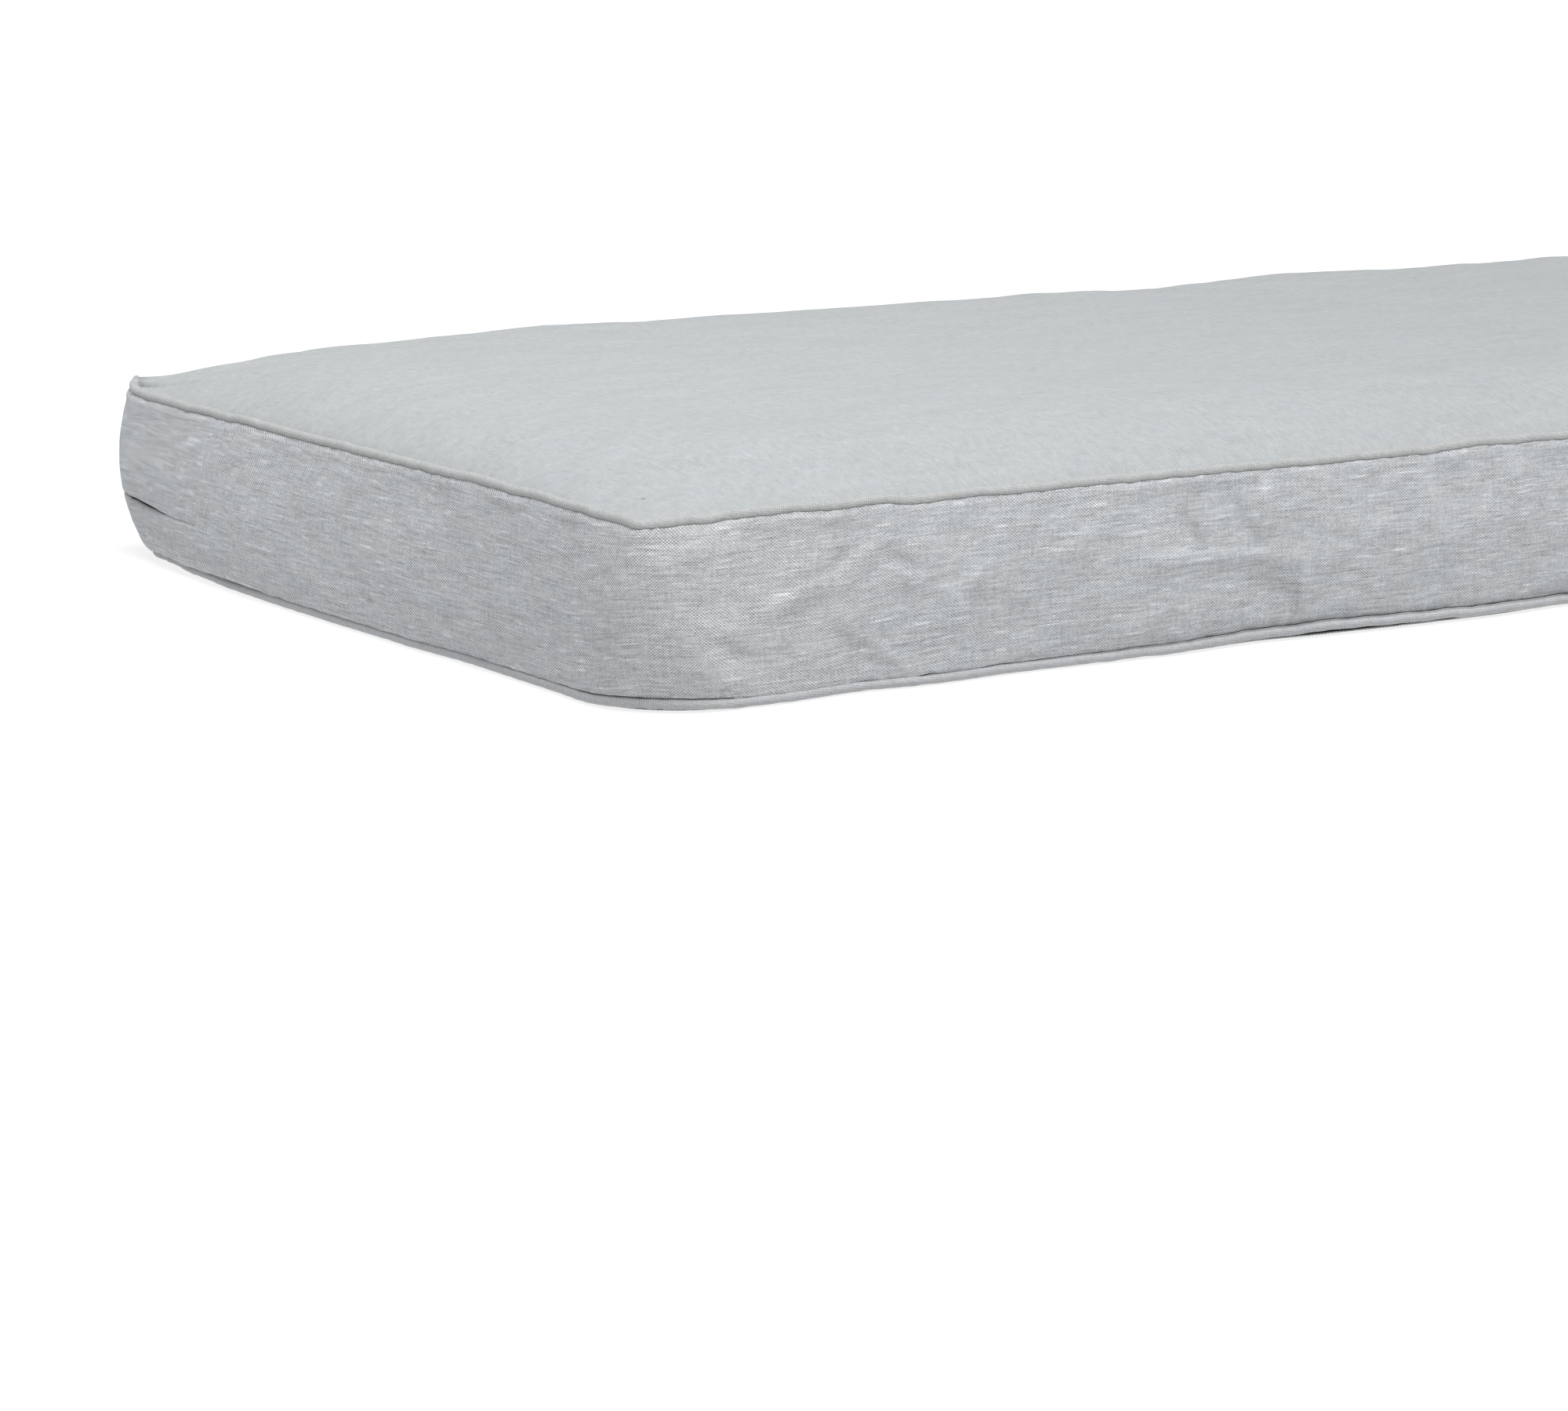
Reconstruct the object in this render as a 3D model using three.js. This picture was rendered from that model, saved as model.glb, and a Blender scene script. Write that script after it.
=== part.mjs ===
// A piped box cover of linen for a daybed, on the plain mattress that it fits.
// Millimetres. X runs along the length, Y across and Z up; the origin is the centre of the underside.
// The viewer's corner is the one at -X, -Y. The slit of the closure runs along the back, at +Y.
import * as THREE from 'three';

// Driving dimensions
const LENGTH = 1900;
const WIDTH = 700;
const CROWN_HEIGHT = 145;
const CLOTH = 1.6;
const SEWN_GAP = 0.3;
const PIPING_RADIUS = 3;
const PIPING_SIDES = 8;
const HALF_LENGTH = LENGTH / 2;
const HALF_WIDTH = WIDTH / 2;
const PERIMETER = 2 * (LENGTH + WIDTH);

// The corners of the plan are tight at the upper seam and open out towards the lower one.
const CORNER_MIDDLE = 34;
const CORNER_ZONE = 86;
const CORNER_STEPS = 5;
const BETWEEN_CORNER_AND_SIDE = [0.22, 0.55];

// The cloth rolls in over its last few millimetres to meet the piping.
const ROLL_IN = 1.6;
const ROLL_HEIGHT = 2.4;

// The upper seam lies PIPING_IN inside the wall's face, and so does the lower one, off its foot.
const PIPING_IN = 1.4;
const PANEL_EDGE_IN = PIPING_IN + PIPING_RADIUS + SEWN_GAP;
const PANEL_EDGE_RISE = 4.6;
const CROWN_RUN = 20;
const FLOOR_GAP = 0.1;

// The mattress stands this far behind the inner face of the wall, under the panels and inside the piping.
const WALL_SLACK = 2.8;
const PANEL_SLACK = 0.4;
const PIPING_SLACK = 1.8;

// The closure: where its strips are sewn to the wall band, measured from the back corners, and its slit.
const CLOSURE_WRAP = 140;
const SLIT_END = 112;
const SLIT_LEVEL = 0.355;
const SLIT_LEVEL_AT_SEAM = 0.3;
const SLIT_OPEN_AT = 55;
const SLIT_OPEN_REACH = 36;
const SLIT_OPEN = 2;
const LIP_SET_BACK = 2.4;
const LIP_RUN = 9;

// Column pitches round the wall: close where the cloth is creased, wider on the smooth and far stretches.
const CREASED_LENGTH = 760;
const PITCH_CREASED = 18;
const PITCH_NEAR = 34;
const PITCH_FAR = 85;

// Heights of the rows of the wall, as shares of the way from the lower seam to the upper one.
const WALL_ROWS = [0, 0.025, 0.12, 0.27, 0.42, 0.57, 0.72, 0.87, 0.975, 1];
const UPPER_LIP_ROWS = [0, 0.05, 0.22, 0.48, 0.74, 0.94, 0.98, 1];
const LOWER_LIP_ROWS = [0, 0.07, 0.35, 0.7, 1];
const MATTRESS_ROWS = [0.06, 0.25, 0.5, 0.75, 0.95];

// Insets of the rings of the upper panel from its sewn edge.
const PANEL_RINGS = [0, 5, 13, 27, 52, 110];

// How the wall stands, station by station, going round from the viewer's corner along the front, the right
// end, the back and the left end. top and bottom are the heights of the two seams, belly is the swell at
// half height, and foot is how far the wall's lower edge stands out past the upper seam. tuck is how far
// the lower piping is rolled under the wall, and crest is how high the upper panel swells beside its edge.
const STATIONS = table(['along', 'top', 'bottom', 'belly', 'foot', 'tuck', 'crest'], [
  [0, 111.2, 8.6, 4, 4.5, 0, 122],
  [45, 111.7, 6.8, 4, 5.2, 0, 128],
  [98, 113.1, 6.4, 4, 5.4, 0, 136],
  [153, 112.5, 6.6, 4.5, 0, 0, 140],
  [209, 111.4, 6.9, 4, 3.8, 0, 142],
  [268, 111.4, 7.2, 4.5, 0, 0, 143],
  [385, 111.4, 7.8, 4, 2.2, 0, 144],
  [450, 111.1, 8.8, 5, -3.5, 0, 143],
  [509, 110.7, 10.2, 4, 0.4, 0, 143],
  [571, 110.8, 9.4, 4, 2.8, 0, 144],
  [636, 112.4, 8.6, 4, 3, 0, 143],
  [706, 111.3, 8, 4.5, -3.2, 0, 143],
  [900, 111.6, 7.2, 4, 3, 0, 144],
  [1150, 110.6, 7.8, 5, 0, 0, 142],
  [1400, 111.6, 7, 4, 4, 0, 144],
  [1700, 110.8, 7.4, 5, 2, 0, 140],
  [1900, 111.8, 8.6, 4, 4.5, 0, 122],
  [2020, 110.4, 6.8, 5, 9, 0, 139],
  [2250, 111.4, 6.4, 4, 15, 0, 144],
  [2480, 110.2, 6.6, 5, 9, 0, 139],
  [2600, 111.6, 8.2, 4, 5, 0, 122],
  [2780, 110.6, 7, 4, 5, 0, 140],
  [3000, 111.4, 7.4, 5, 3, 0, 143],
  [3225, 110.4, 7, 4, 6, 0, 139],
  [3390, 111.2, 7.4, 4, 4, 0, 141],
  [3545, 111.4, 7.6, 5, 3, 0, 144.5],
  [3698, 110.6, 7.2, 4, 5, 0, 138.5],
  [3771, 110.8, 7, 4, 5, 0, 142],
  [3843, 110.6, 7.2, 4, 4, 0, 140],
  [3982, 111.2, 7.4, 5, 4, 0, 144],
  [4150, 110.4, 7, 4, 5, 0, 146],
  [4330, 110, 6.8, 5, 6, 0, 145],
  [4400, 109.8, 6.4, 5, 7, 7, 141],
  [4440, 109.8, 3.6, 5, 6.5, 7, 135],
  [4500, 110.8, 3.6, 6.4, 5.2, 7, 126],
  [4535, 109, 3.6, 6, 6.5, 7, 129],
  [4562, 110.1, 3.6, 5.5, 10, 7, 133],
  [4620, 110.2, 3.6, 4.5, 16.5, 7, 139],
  [4688, 111.2, 6.4, 4, 18, 7, 141],
  [4755, 110.8, 6.4, 4, 15.8, 0, 143],
  [4810, 111.4, 6.4, 4, 15, 0, 144],
  [4913, 112, 6.4, 4, 12.2, 0, 144],
  [5004, 113.2, 6.5, 4, 6, 0, 142],
  [5100, 112.9, 6.6, 4, 4.7, 0, 137],
  [5160, 111.7, 7, 4, 4.5, 0, 128],
  [PERIMETER, 111.2, 8.6, 4, 4.5, 0, 122],
]);

// The four corners, in the order of the sides that start there. up and out are the ear that the piping
// makes; tight and open are the radii of the plan at the two seams, and ease how soon the one becomes
// the other on the way down.
const CORNERS = table(['up', 'out', 'tight', 'open', 'ease'], [
  [0.3, 0.5, 11, 66, 1.3],
  [2.4, 2, 10, 60, 1.4],
  [2.6, 2, 10, 60, 1.4],
  [4.2, 2.6, 8, 52, 1.6],
]);
const EAR_RUN = 15;
const EAR_AT_ARC_END = 0.6;

// Creases of the wall: their middle along it and above the floor, the way they run in degrees from level,
// half their length and width, and how far they stand out (or, below zero, fall in). They fade out over
// CREASE_FADE of the wall's height beside each seam.
const CREASES = table(['along', 'height', 'angle', 'reach', 'width', 'depth'], [
  [71, 33, -6, 22, 8, -1.7],
  [76, 46, 6, 24, 8, 1.3],
  [135, 79, 22, 20, 8, 2.0],
  [152, 66, 20, 26, 9, -1.6],
  [182, 83, 9, 22, 8, 1.8],
  [146, 27, -38, 24, 9, -2.0],
  [168, 26, 48, 18, 8, 2.0],
  [398, 76, 62, 18, 9, -1.5],
  [397, 22, 18, 20, 8, 1.5],
  [440, 78, 52, 24, 9, -2.0],
  [457, 87, 88, 20, 8, 2.2],
  [418, 61, -4, 60, 8, 1.4],
  [456, 39, 27, 30, 10, -2.0],
  [485, 31, 86, 20, 8, 2.4],
  [666, 65, -76, 36, 8, 1.4],
  [980, 72, 35, 40, 13, 1.6],
  [1240, 48, -28, 45, 13, 1.8],
  [1530, 78, 22, 40, 13, -1.5],
  [1740, 50, 60, 34, 12, 1.8],
  [2060, 60, -40, 36, 14, 1.5],
  [2390, 70, 30, 36, 14, 1.4],
  [2950, 74, 25, 50, 15, 1.6],
  [3420, 72, -30, 50, 15, 1.5],
  [3900, 76, 20, 50, 15, 1.6],
]);

const CREASE_FADE = 0.25;

const LINEN = { top: 0xcbcfd0, wall: 0xb9bcbe, piping: 0xb4b5b2, under: 0xb0b3b5 };
const FILLING = 0x6f6c66;
const ROUGHNESS = 0.95;

function table(columns, rows) {
  return rows.map((row) => Object.fromEntries(columns.map((name, k) => [name, row[k]])));
}

function smooth(t) {
  const held = Math.min(1, Math.max(0, t));
  return held * held * (3 - 2 * held);
}

function wrapped(along) {
  return ((along % PERIMETER) + PERIMETER) % PERIMETER;
}

// A column of STATIONS at any place round the wall.
function station(along, name) {
  const place = wrapped(along);
  const next = STATIONS.findIndex((row) => row.along > place);
  const [from, to] = [STATIONS[next - 1], STATIONS[next]];
  const share = smooth((place - from.along) / (to.along - from.along));
  return from[name] + (to[name] - from[name]) * share;
}

// The four sides in turn: the front, the right end, the back and the left end.
const SIDES = [
  { run: [1, 0], out: [0, -1], half: HALF_LENGTH, depth: HALF_WIDTH },
  { run: [0, 1], out: [1, 0], half: HALF_WIDTH, depth: HALF_LENGTH },
  { run: [-1, 0], out: [0, 1], half: HALF_LENGTH, depth: HALF_WIDTH },
  { run: [0, -1], out: [-1, 0], half: HALF_WIDTH, depth: HALF_LENGTH },
];
let walked = 0;
for (const side of SIDES) {
  side.start = walked;
  walked += 2 * side.half;
}
const SEAM_RIGHT = SIDES[2].start - CLOSURE_WRAP;
const SEAM_LEFT = SIDES[3].start + CLOSURE_WRAP;

// Columns round the cover. kind is arc at a corner, blend next to it, and side on the straight.
// every is false on the columns that only the wall bands use.
function arcColumns(index) {
  const side = SIDES[index];
  const spread = CORNER_MIDDLE * Math.PI / 4;
  const columns = [];
  for (let k = 0; k <= CORNER_STEPS; k += 1) {
    const share = k / CORNER_STEPS;
    const turn = share * Math.PI / 2;
    const ear = EAR_AT_ARC_END + (1 - EAR_AT_ARC_END) * Math.sin(2 * turn);
    const along = side.start + (2 * share - 1) * spread;
    columns.push({ kind: 'arc', side, corner: index, turn, along, ear, every: true });
  }
  return columns;
}

function blendColumn(index, share, atEnd) {
  const side = SIDES[index];
  const corner = atEnd ? (index + 1) % SIDES.length : index;
  const fromCorner = CORNER_MIDDLE + share * (CORNER_ZONE - CORNER_MIDDLE);
  const along = atEnd ? side.start + 2 * side.half - fromCorner : side.start + fromCorner;
  const ear = EAR_AT_ARC_END * Math.exp(-share * CORNER_ZONE / EAR_RUN);
  return { kind: 'blend', side, corner, share, atEnd, along, ear, every: true };
}

function sideColumn(index, fromStart, every) {
  const side = SIDES[index];
  const corner = fromStart < side.half ? index : (index + 1) % SIDES.length;
  return { kind: 'side', side, corner, fromStart, along: side.start + fromStart, ear: 0, every };
}

// Places along one side, evenly spread between stops, with a pitch for each stretch.
function stretch(from, to, pitch) {
  const steps = Math.max(1, Math.round((to - from) / pitch));
  return Array.from({ length: steps }, (_, k) => from + (to - from) * k / steps);
}

function sideColumns(index) {
  const last = 2 * SIDES[index].half - CORNER_ZONE;
  const edge = CLOSURE_WRAP;
  const places = [
    () => [
      ...stretch(CORNER_ZONE, CREASED_LENGTH, PITCH_CREASED),
      ...stretch(CREASED_LENGTH, last, PITCH_FAR),
    ],
    () => [...stretch(CORNER_ZONE, WIDTH - edge, PITCH_FAR), WIDTH - edge],
    () => stretch(CORNER_ZONE, last, PITCH_FAR),
    () => [CORNER_ZONE, ...stretch(edge, last, PITCH_NEAR)],
  ][index]();
  return [...places, last].map((place, k) => {
    const fine = index === 0 && place < CREASED_LENGTH && k % 2 === 1;
    return sideColumn(index, place, !fine);
  });
}

const COLUMNS = SIDES.flatMap((side, index) => [
  ...arcColumns(index),
  ...BETWEEN_CORNER_AND_SIDE.map((share) => blendColumn(index, share, false)),
  ...sideColumns(index),
  ...[...BETWEEN_CORNER_AND_SIDE].reverse().map((share) => blendColumn(index, share, true)),
]);
const RING = COLUMNS.filter((column) => column.every);

// The plan point of a column on the outline that stands off from the nominal rectangle, with corners of
// the given radius.
function planPoint(column, off, radius) {
  const { side } = column;
  const half = side.half + off;
  const depth = side.depth + off;
  let run;
  let out;
  if (column.kind === 'arc') {
    run = -(half - radius) - radius * Math.cos(column.turn);
    out = depth - radius + radius * Math.sin(column.turn);
  } else if (column.kind === 'blend') {
    const fromCorner = radius + column.share * (CORNER_ZONE - radius);
    run = (fromCorner - side.half) * (half / side.half) * (column.atEnd ? -1 : 1);
    out = depth;
  } else {
    run = (column.fromStart - side.half) * (half / side.half);
    out = depth;
  }
  return [side.run[0] * run + side.out[0] * out, side.run[1] * run + side.out[1] * out];
}

function cornerRadius(column, level) {
  const { tight, open, ease } = CORNERS[column.corner];
  return tight + (open - tight) * Math.pow(1 - level, ease);
}

function topSeam(column) {
  return station(column.along, 'top') + CORNERS[column.corner].up * column.ear;
}

function bottomSeam(column) {
  return station(column.along, 'bottom');
}

function earOut(column) {
  return CORNERS[column.corner].out * column.ear;
}

function creases(along, height) {
  const place = wrapped(along);
  let sum = 0;
  for (const crease of CREASES) {
    const turn = crease.angle * Math.PI / 180;
    const dx = place - crease.along;
    const dz = height - crease.height;
    const way = (dx * Math.cos(turn) + dz * Math.sin(turn)) / crease.reach;
    const across = (dz * Math.cos(turn) - dx * Math.sin(turn)) / crease.width;
    sum += crease.depth * Math.exp(-way * way - across * across);
  }
  return sum;
}

// The height of the wall at a share of the way from the lower seam to the upper one.
function wallHeight(column, level) {
  const low = bottomSeam(column);
  return low + (topSeam(column) - low) * level;
}

function rollIn(column, level) {
  const high = topSeam(column) - bottomSeam(column);
  return ROLL_IN * (Math.exp(-(1 - level) * high / ROLL_HEIGHT) + Math.exp(-level * high / ROLL_HEIGHT));
}

// A point inside the outer face of the wall, by the given depth. The creases are left out of the mattress.
function wallPoint(column, level, depth, creased) {
  const height = wallHeight(column, level);
  const lean = station(column.along, 'foot') * (1 - level) + earOut(column) * level;
  const belly = station(column.along, 'belly') * Math.sin(Math.PI * level);
  const fade = smooth(level / CREASE_FADE) * smooth((1 - level) / CREASE_FADE);
  const fold = creased ? creases(column.along, height) * fade : 0;
  const inside = depth + rollIn(column, level);
  return [...planPoint(column, lean + belly + fold - inside, cornerRadius(column, level) - inside), height];
}

// The slit lies lower near its sewn ends and gapes beside the back left corner.
function slitLevel(column) {
  const fromSeam = Math.min(column.along - SEAM_RIGHT, SEAM_LEFT - column.along);
  return SLIT_LEVEL_AT_SEAM + (SLIT_LEVEL - SLIT_LEVEL_AT_SEAM) * smooth(fromSeam / CLOSURE_WRAP);
}

function slitGap(column) {
  const fromCorner = column.along - SIDES[3].start;
  const reach = (fromCorner - SLIT_OPEN_AT) / SLIT_OPEN_REACH;
  const closed = smooth((SLIT_END - Math.abs(fromCorner)) / SLIT_OPEN_REACH);
  return SEWN_GAP + SLIT_OPEN * Math.exp(-reach * reach) * (fromCorner > 0 ? closed : 1);
}

// The upper panel: its edge beside the piping, the swell beside the edge, and the level crown.
function panelPoint(column, inset, depth) {
  const most = PANEL_RINGS[PANEL_RINGS.length - 1];
  const share = (1 - Math.exp(-inset / CROWN_RUN)) / (1 - Math.exp(-most / CROWN_RUN));
  const swell = Math.pow(share, 1 + column.ear);
  const edge = topSeam(column) + PANEL_EDGE_RISE;
  const crest = station(column.along, 'crest');
  const height = edge + (crest - edge) * swell + (CROWN_HEIGHT - crest) * smooth(inset / most);
  const off = earOut(column) * (1 - share) - PANEL_EDGE_IN - inset;
  const radius = CORNERS[column.corner].tight - PANEL_EDGE_IN * (1 - share);
  return [...planPoint(column, off, radius), height - depth];
}

// Builds one closed mesh out of rows of points.
class Skin {
  constructor() {
    this.points = [];
    this.faces = [];
  }

  row(points) {
    const first = this.points.length / 3;
    points.forEach((point) => this.points.push(...point));
    return points.map((_, k) => first + k);
  }

  quad(a, b, c, d) {
    this.faces.push(a, b, c, a, c, d);
  }

  // Joins two rows, facing out of the cover or, for the inner face of a sheet, into it.
  band(lower, upper, closed, inward = false) {
    const steps = closed ? lower.length : lower.length - 1;
    for (let k = 0; k < steps; k += 1) {
      const next = (k + 1) % lower.length;
      const [second, fourth] = inward ? [upper[k], lower[next]] : [lower[next], upper[k]];
      this.quad(lower[k], second, upper[next], fourth);
    }
  }

  // Closes a ring with a fan round its middle, facing up or down.
  lid(ring, middle, facingUp) {
    const [centre] = this.row([middle]);
    ring.forEach((corner, k) => {
      const next = ring[(k + 1) % ring.length];
      const [second, third] = facingUp ? [corner, next] : [next, corner];
      this.faces.push(centre, second, third);
    });
  }

  mesh(name, colour) {
    const geometry = new THREE.BufferGeometry();
    geometry.setAttribute('position', new THREE.Float32BufferAttribute(this.points, 3));
    geometry.setIndex(this.faces);
    geometry.computeVertexNormals();
    const material = new THREE.MeshStandardMaterial({ color: colour, roughness: ROUGHNESS, metalness: 0 });
    const mesh = new THREE.Mesh(geometry, material);
    mesh.name = name;
    return mesh;
  }
}

// A sheet between an outer and an inner set of rows. A closed sheet is a loop; an open one has two ends.
function addSheet(skin, outer, inner, closed) {
  const outside = outer.map((row) => skin.row(row));
  const inside = inner.map((row) => skin.row(row));
  const last = outside.length - 1;
  for (let k = 0; k < last; k += 1) {
    skin.band(outside[k], outside[k + 1], closed);
    skin.band(inside[k], inside[k + 1], closed, true);
  }
  skin.band(inside[0], outside[0], closed);
  if (!closed) {
    skin.band(outside[last], inside[last], closed);
    const end = outside[0].length - 1;
    skin.band(inside.map((row) => row[end]), outside.map((row) => row[end]), false);
    skin.band(outside.map((row) => row[0]), inside.map((row) => row[0]), false);
  }
  return [outside[last], inside[last]];
}

// place turns a share of a band's height into the wall's level and how far the cloth is set back there.
function wallBand(name, columns, levels, place) {
  const skin = new Skin();
  const rows = (depth) => levels.map((share) => columns.map((column) => {
    const [level, back] = place(column, share);
    return wallPoint(column, level, depth + back, true);
  }));
  addSheet(skin, rows(0), rows(CLOTH), false);
  return skin.mesh(name, LINEN.wall);
}

// The columns from one place round the wall to another, with its two cut ends a sewn gap apart.
function columnsBetween(from, to) {
  const span = wrapped(to - from);
  const inside = COLUMNS.filter((column) => {
    const past = wrapped(column.along - from);
    return past > SEWN_GAP && past < span - SEWN_GAP;
  });
  inside.sort((a, b) => wrapped(a.along - from) - wrapped(b.along - from));
  return [endColumn(from + SEWN_GAP / 2), ...inside, endColumn(to - SEWN_GAP / 2)];
}

function endColumn(along) {
  const index = SIDES.findIndex((side) => wrapped(along) < side.start + 2 * side.half);
  return sideColumn(index, wrapped(along) - SIDES[index].start, false);
}

function wholeWall(column, share) {
  return [share, 0];
}

function upperLip(column, share) {
  const high = topSeam(column) - bottomSeam(column);
  const start = slitLevel(column) + slitGap(column) / 2 / high;
  return [start + (1 - start) * share, 0];
}

function lowerLip(column, share) {
  const high = topSeam(column) - bottomSeam(column);
  const end = slitLevel(column) - slitGap(column) / 2 / high;
  const level = end * share;
  const open = smooth((slitGap(column) - SEWN_GAP) / SLIT_OPEN);
  return [level, LIP_SET_BACK * open * Math.exp(-(end - level) * high / LIP_RUN)];
}

function panelTop() {
  const skin = new Skin();
  const rings = (depth) => PANEL_RINGS.map((inset) => RING.map((column) => panelPoint(column, inset, depth)));
  const [upper, lower] = addSheet(skin, rings(0), rings(CLOTH), true);
  skin.lid(upper, [0, 0, CROWN_HEIGHT], true);
  skin.lid(lower, [0, 0, CROWN_HEIGHT - CLOTH], false);
  return skin.mesh('top_panel', LINEN.top);
}

// Where the lower piping lies: under the wall's edge, or rolled further in.
function footOff(column) {
  return station(column.along, 'foot') - station(column.along, 'tuck');
}

function footRadius(column) {
  return CORNERS[column.corner].open - station(column.along, 'tuck');
}

function footPoint(column, inside, height) {
  return [...planPoint(column, footOff(column) - inside, footRadius(column) - inside), height];
}

function panelBottom() {
  const skin = new Skin();
  const low = skin.row(RING.map((column) => footPoint(column, PANEL_EDGE_IN, 0)));
  const high = skin.row(RING.map((column) => footPoint(column, PANEL_EDGE_IN, CLOTH)));
  skin.band(low, high, true);
  skin.lid(low, [0, 0, 0], false);
  skin.lid(high, [0, 0, CLOTH], true);
  return skin.mesh('bottom_panel', LINEN.under);
}

// A closed loop of piping, round in section, along a line given by its offset, plan radius and height.
function piping(name, offOf, radiusOf, heightOf) {
  const skin = new Skin();
  const rows = Array.from({ length: PIPING_SIDES }, (_, k) => {
    const turn = 2 * Math.PI * k / PIPING_SIDES;
    const outward = PIPING_RADIUS * Math.cos(turn);
    const upward = PIPING_RADIUS * Math.sin(turn);
    return skin.row(COLUMNS.map((column) => {
      const plan = planPoint(column, offOf(column) + outward, radiusOf(column) + outward);
      return [...plan, heightOf(column) + upward];
    }));
  });
  rows.forEach((row, k) => skin.band(row, rows[(k + 1) % rows.length], true));
  return skin.mesh(name, LINEN.piping);
}

// The mattress, crowned like the cover, with its edges drawn in behind the piping.
function mattress() {
  const skin = new Skin();
  const floor = CLOTH + PANEL_SLACK;
  const footIn = PANEL_EDGE_IN + PIPING_SLACK;
  const overPiping = 2 * (PIPING_RADIUS + SEWN_GAP);
  const rimIn = CLOTH + SEWN_GAP;
  const rows = [
    RING.map((column) => footPoint(column, footIn, floor)),
    RING.map((column) => footPoint(column, footIn, Math.max(bottomSeam(column), overPiping))),
    ...MATTRESS_ROWS.map((level) => RING.map((column) => {
      return wallPoint(column, level, CLOTH + WALL_SLACK, false);
    })),
    RING.map((column) => wallPoint(column, 1, rimIn, false)),
    ...PANEL_RINGS.slice(1).map((inset) => RING.map((column) => {
      return panelPoint(column, inset, CLOTH + PANEL_SLACK);
    })),
  ].map((row) => skin.row(row));
  rows.slice(1).forEach((row, k) => skin.band(rows[k], row, true));
  skin.lid(rows[0], [0, 0, floor], false);
  skin.lid(rows[rows.length - 1], [0, 0, CROWN_HEIGHT - CLOTH - PANEL_SLACK], true);
  return skin.mesh('mattress', FILLING);
}

const daybedCover = new THREE.Group();
const toCentre = PIPING_RADIUS + SEWN_GAP;
daybedCover.add(
  mattress(),
  panelBottom(),
  panelTop(),
  wallBand('boxing_front', columnsBetween(SEAM_LEFT, SEAM_RIGHT), WALL_ROWS, wholeWall),
  wallBand('closure_upper', columnsBetween(SEAM_RIGHT, SEAM_LEFT), UPPER_LIP_ROWS, upperLip),
  wallBand('closure_lower', columnsBetween(SEAM_RIGHT, SEAM_LEFT), LOWER_LIP_ROWS, lowerLip),
  piping(
    'piping_top',
    (column) => earOut(column) - PIPING_IN,
    (column) => CORNERS[column.corner].tight - PIPING_IN,
    (column) => topSeam(column) + toCentre,
  ),
  piping(
    'piping_bottom',
    (column) => footOff(column) - PIPING_IN,
    (column) => footRadius(column) - PIPING_IN,
    (column) => Math.max(bottomSeam(column) - toCentre, PIPING_RADIUS + FLOOR_GAP),
  ),
);

export default daybedCover;
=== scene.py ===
import math

import bpy
import numpy as np
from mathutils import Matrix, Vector


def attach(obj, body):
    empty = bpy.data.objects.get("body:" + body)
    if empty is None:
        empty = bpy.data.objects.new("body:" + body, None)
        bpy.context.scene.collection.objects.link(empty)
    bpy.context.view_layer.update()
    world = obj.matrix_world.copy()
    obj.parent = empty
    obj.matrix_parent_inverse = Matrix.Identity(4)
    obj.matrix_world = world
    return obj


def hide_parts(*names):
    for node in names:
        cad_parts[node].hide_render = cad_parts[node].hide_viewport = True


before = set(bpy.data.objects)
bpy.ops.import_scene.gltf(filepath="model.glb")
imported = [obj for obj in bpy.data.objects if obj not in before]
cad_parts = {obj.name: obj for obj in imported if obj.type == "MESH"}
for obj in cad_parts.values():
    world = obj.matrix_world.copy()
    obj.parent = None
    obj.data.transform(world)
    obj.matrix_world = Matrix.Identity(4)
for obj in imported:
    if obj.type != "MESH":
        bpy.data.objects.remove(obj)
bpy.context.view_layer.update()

# A piped linen cover of a daybed on its mattress. Sizes are millimetres until a mesh is made.
# X runs along the length, Y across and Z up. The viewer's corner is the one at -X, -Y.
MM = 0.001
LENGTH = 1900.0
WIDTH = 700.0
CROWN_HEIGHT = 145.0
CLOTH = 0.8
PIPING_RADIUS = 3.3
PIPING_SIDES = 16
SEWN_GAP = 0.3
HALF_LENGTH = LENGTH / 2
HALF_WIDTH = WIDTH / 2
PERIMETER = 2 * (LENGTH + WIDTH)

# Beside each corner the columns turn, then blend into the straight side. The ear is the point that the
# upper corner is drawn out to.
CORNER_MIDDLE = 34.0
CORNER_ZONE = 86.0
EAR_RUN = 15.0
EAR_FADE = 42.0
EAR_AT_ARC_END = 0.6
LEAST_TO_CUT = 0.8

# The cloth turns in beside the seams, deeper over the lower one where the piping stands proud of it.
# Near the back left corner the foot is rolled under too.
TOP_ROLL = 0.9
TOP_ROLL_HEIGHT = 1.3
TOP_RIM = 0.65
TOP_RIM_DOWN = 4.2
TOP_RIM_HEIGHT = 2.4
FOOT_ROLL = 0.5
FOOT_ROLL_HEIGHT = 2.6
FOOT_RECESS = 2.8
FOOT_RECESS_HEIGHT = 8.0
UNDER_ROLL = 0.62
UNDER_ROLL_HEIGHT = 9.0

# The recess over the lower piping runs along two sides: which side, how far from the side's start it
# begins and over how long a run, and the same from the side's end.
RECESS_SPANS = ((0, 230, 260, 60, 200), (2, 60, 200, 120, 200))

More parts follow.
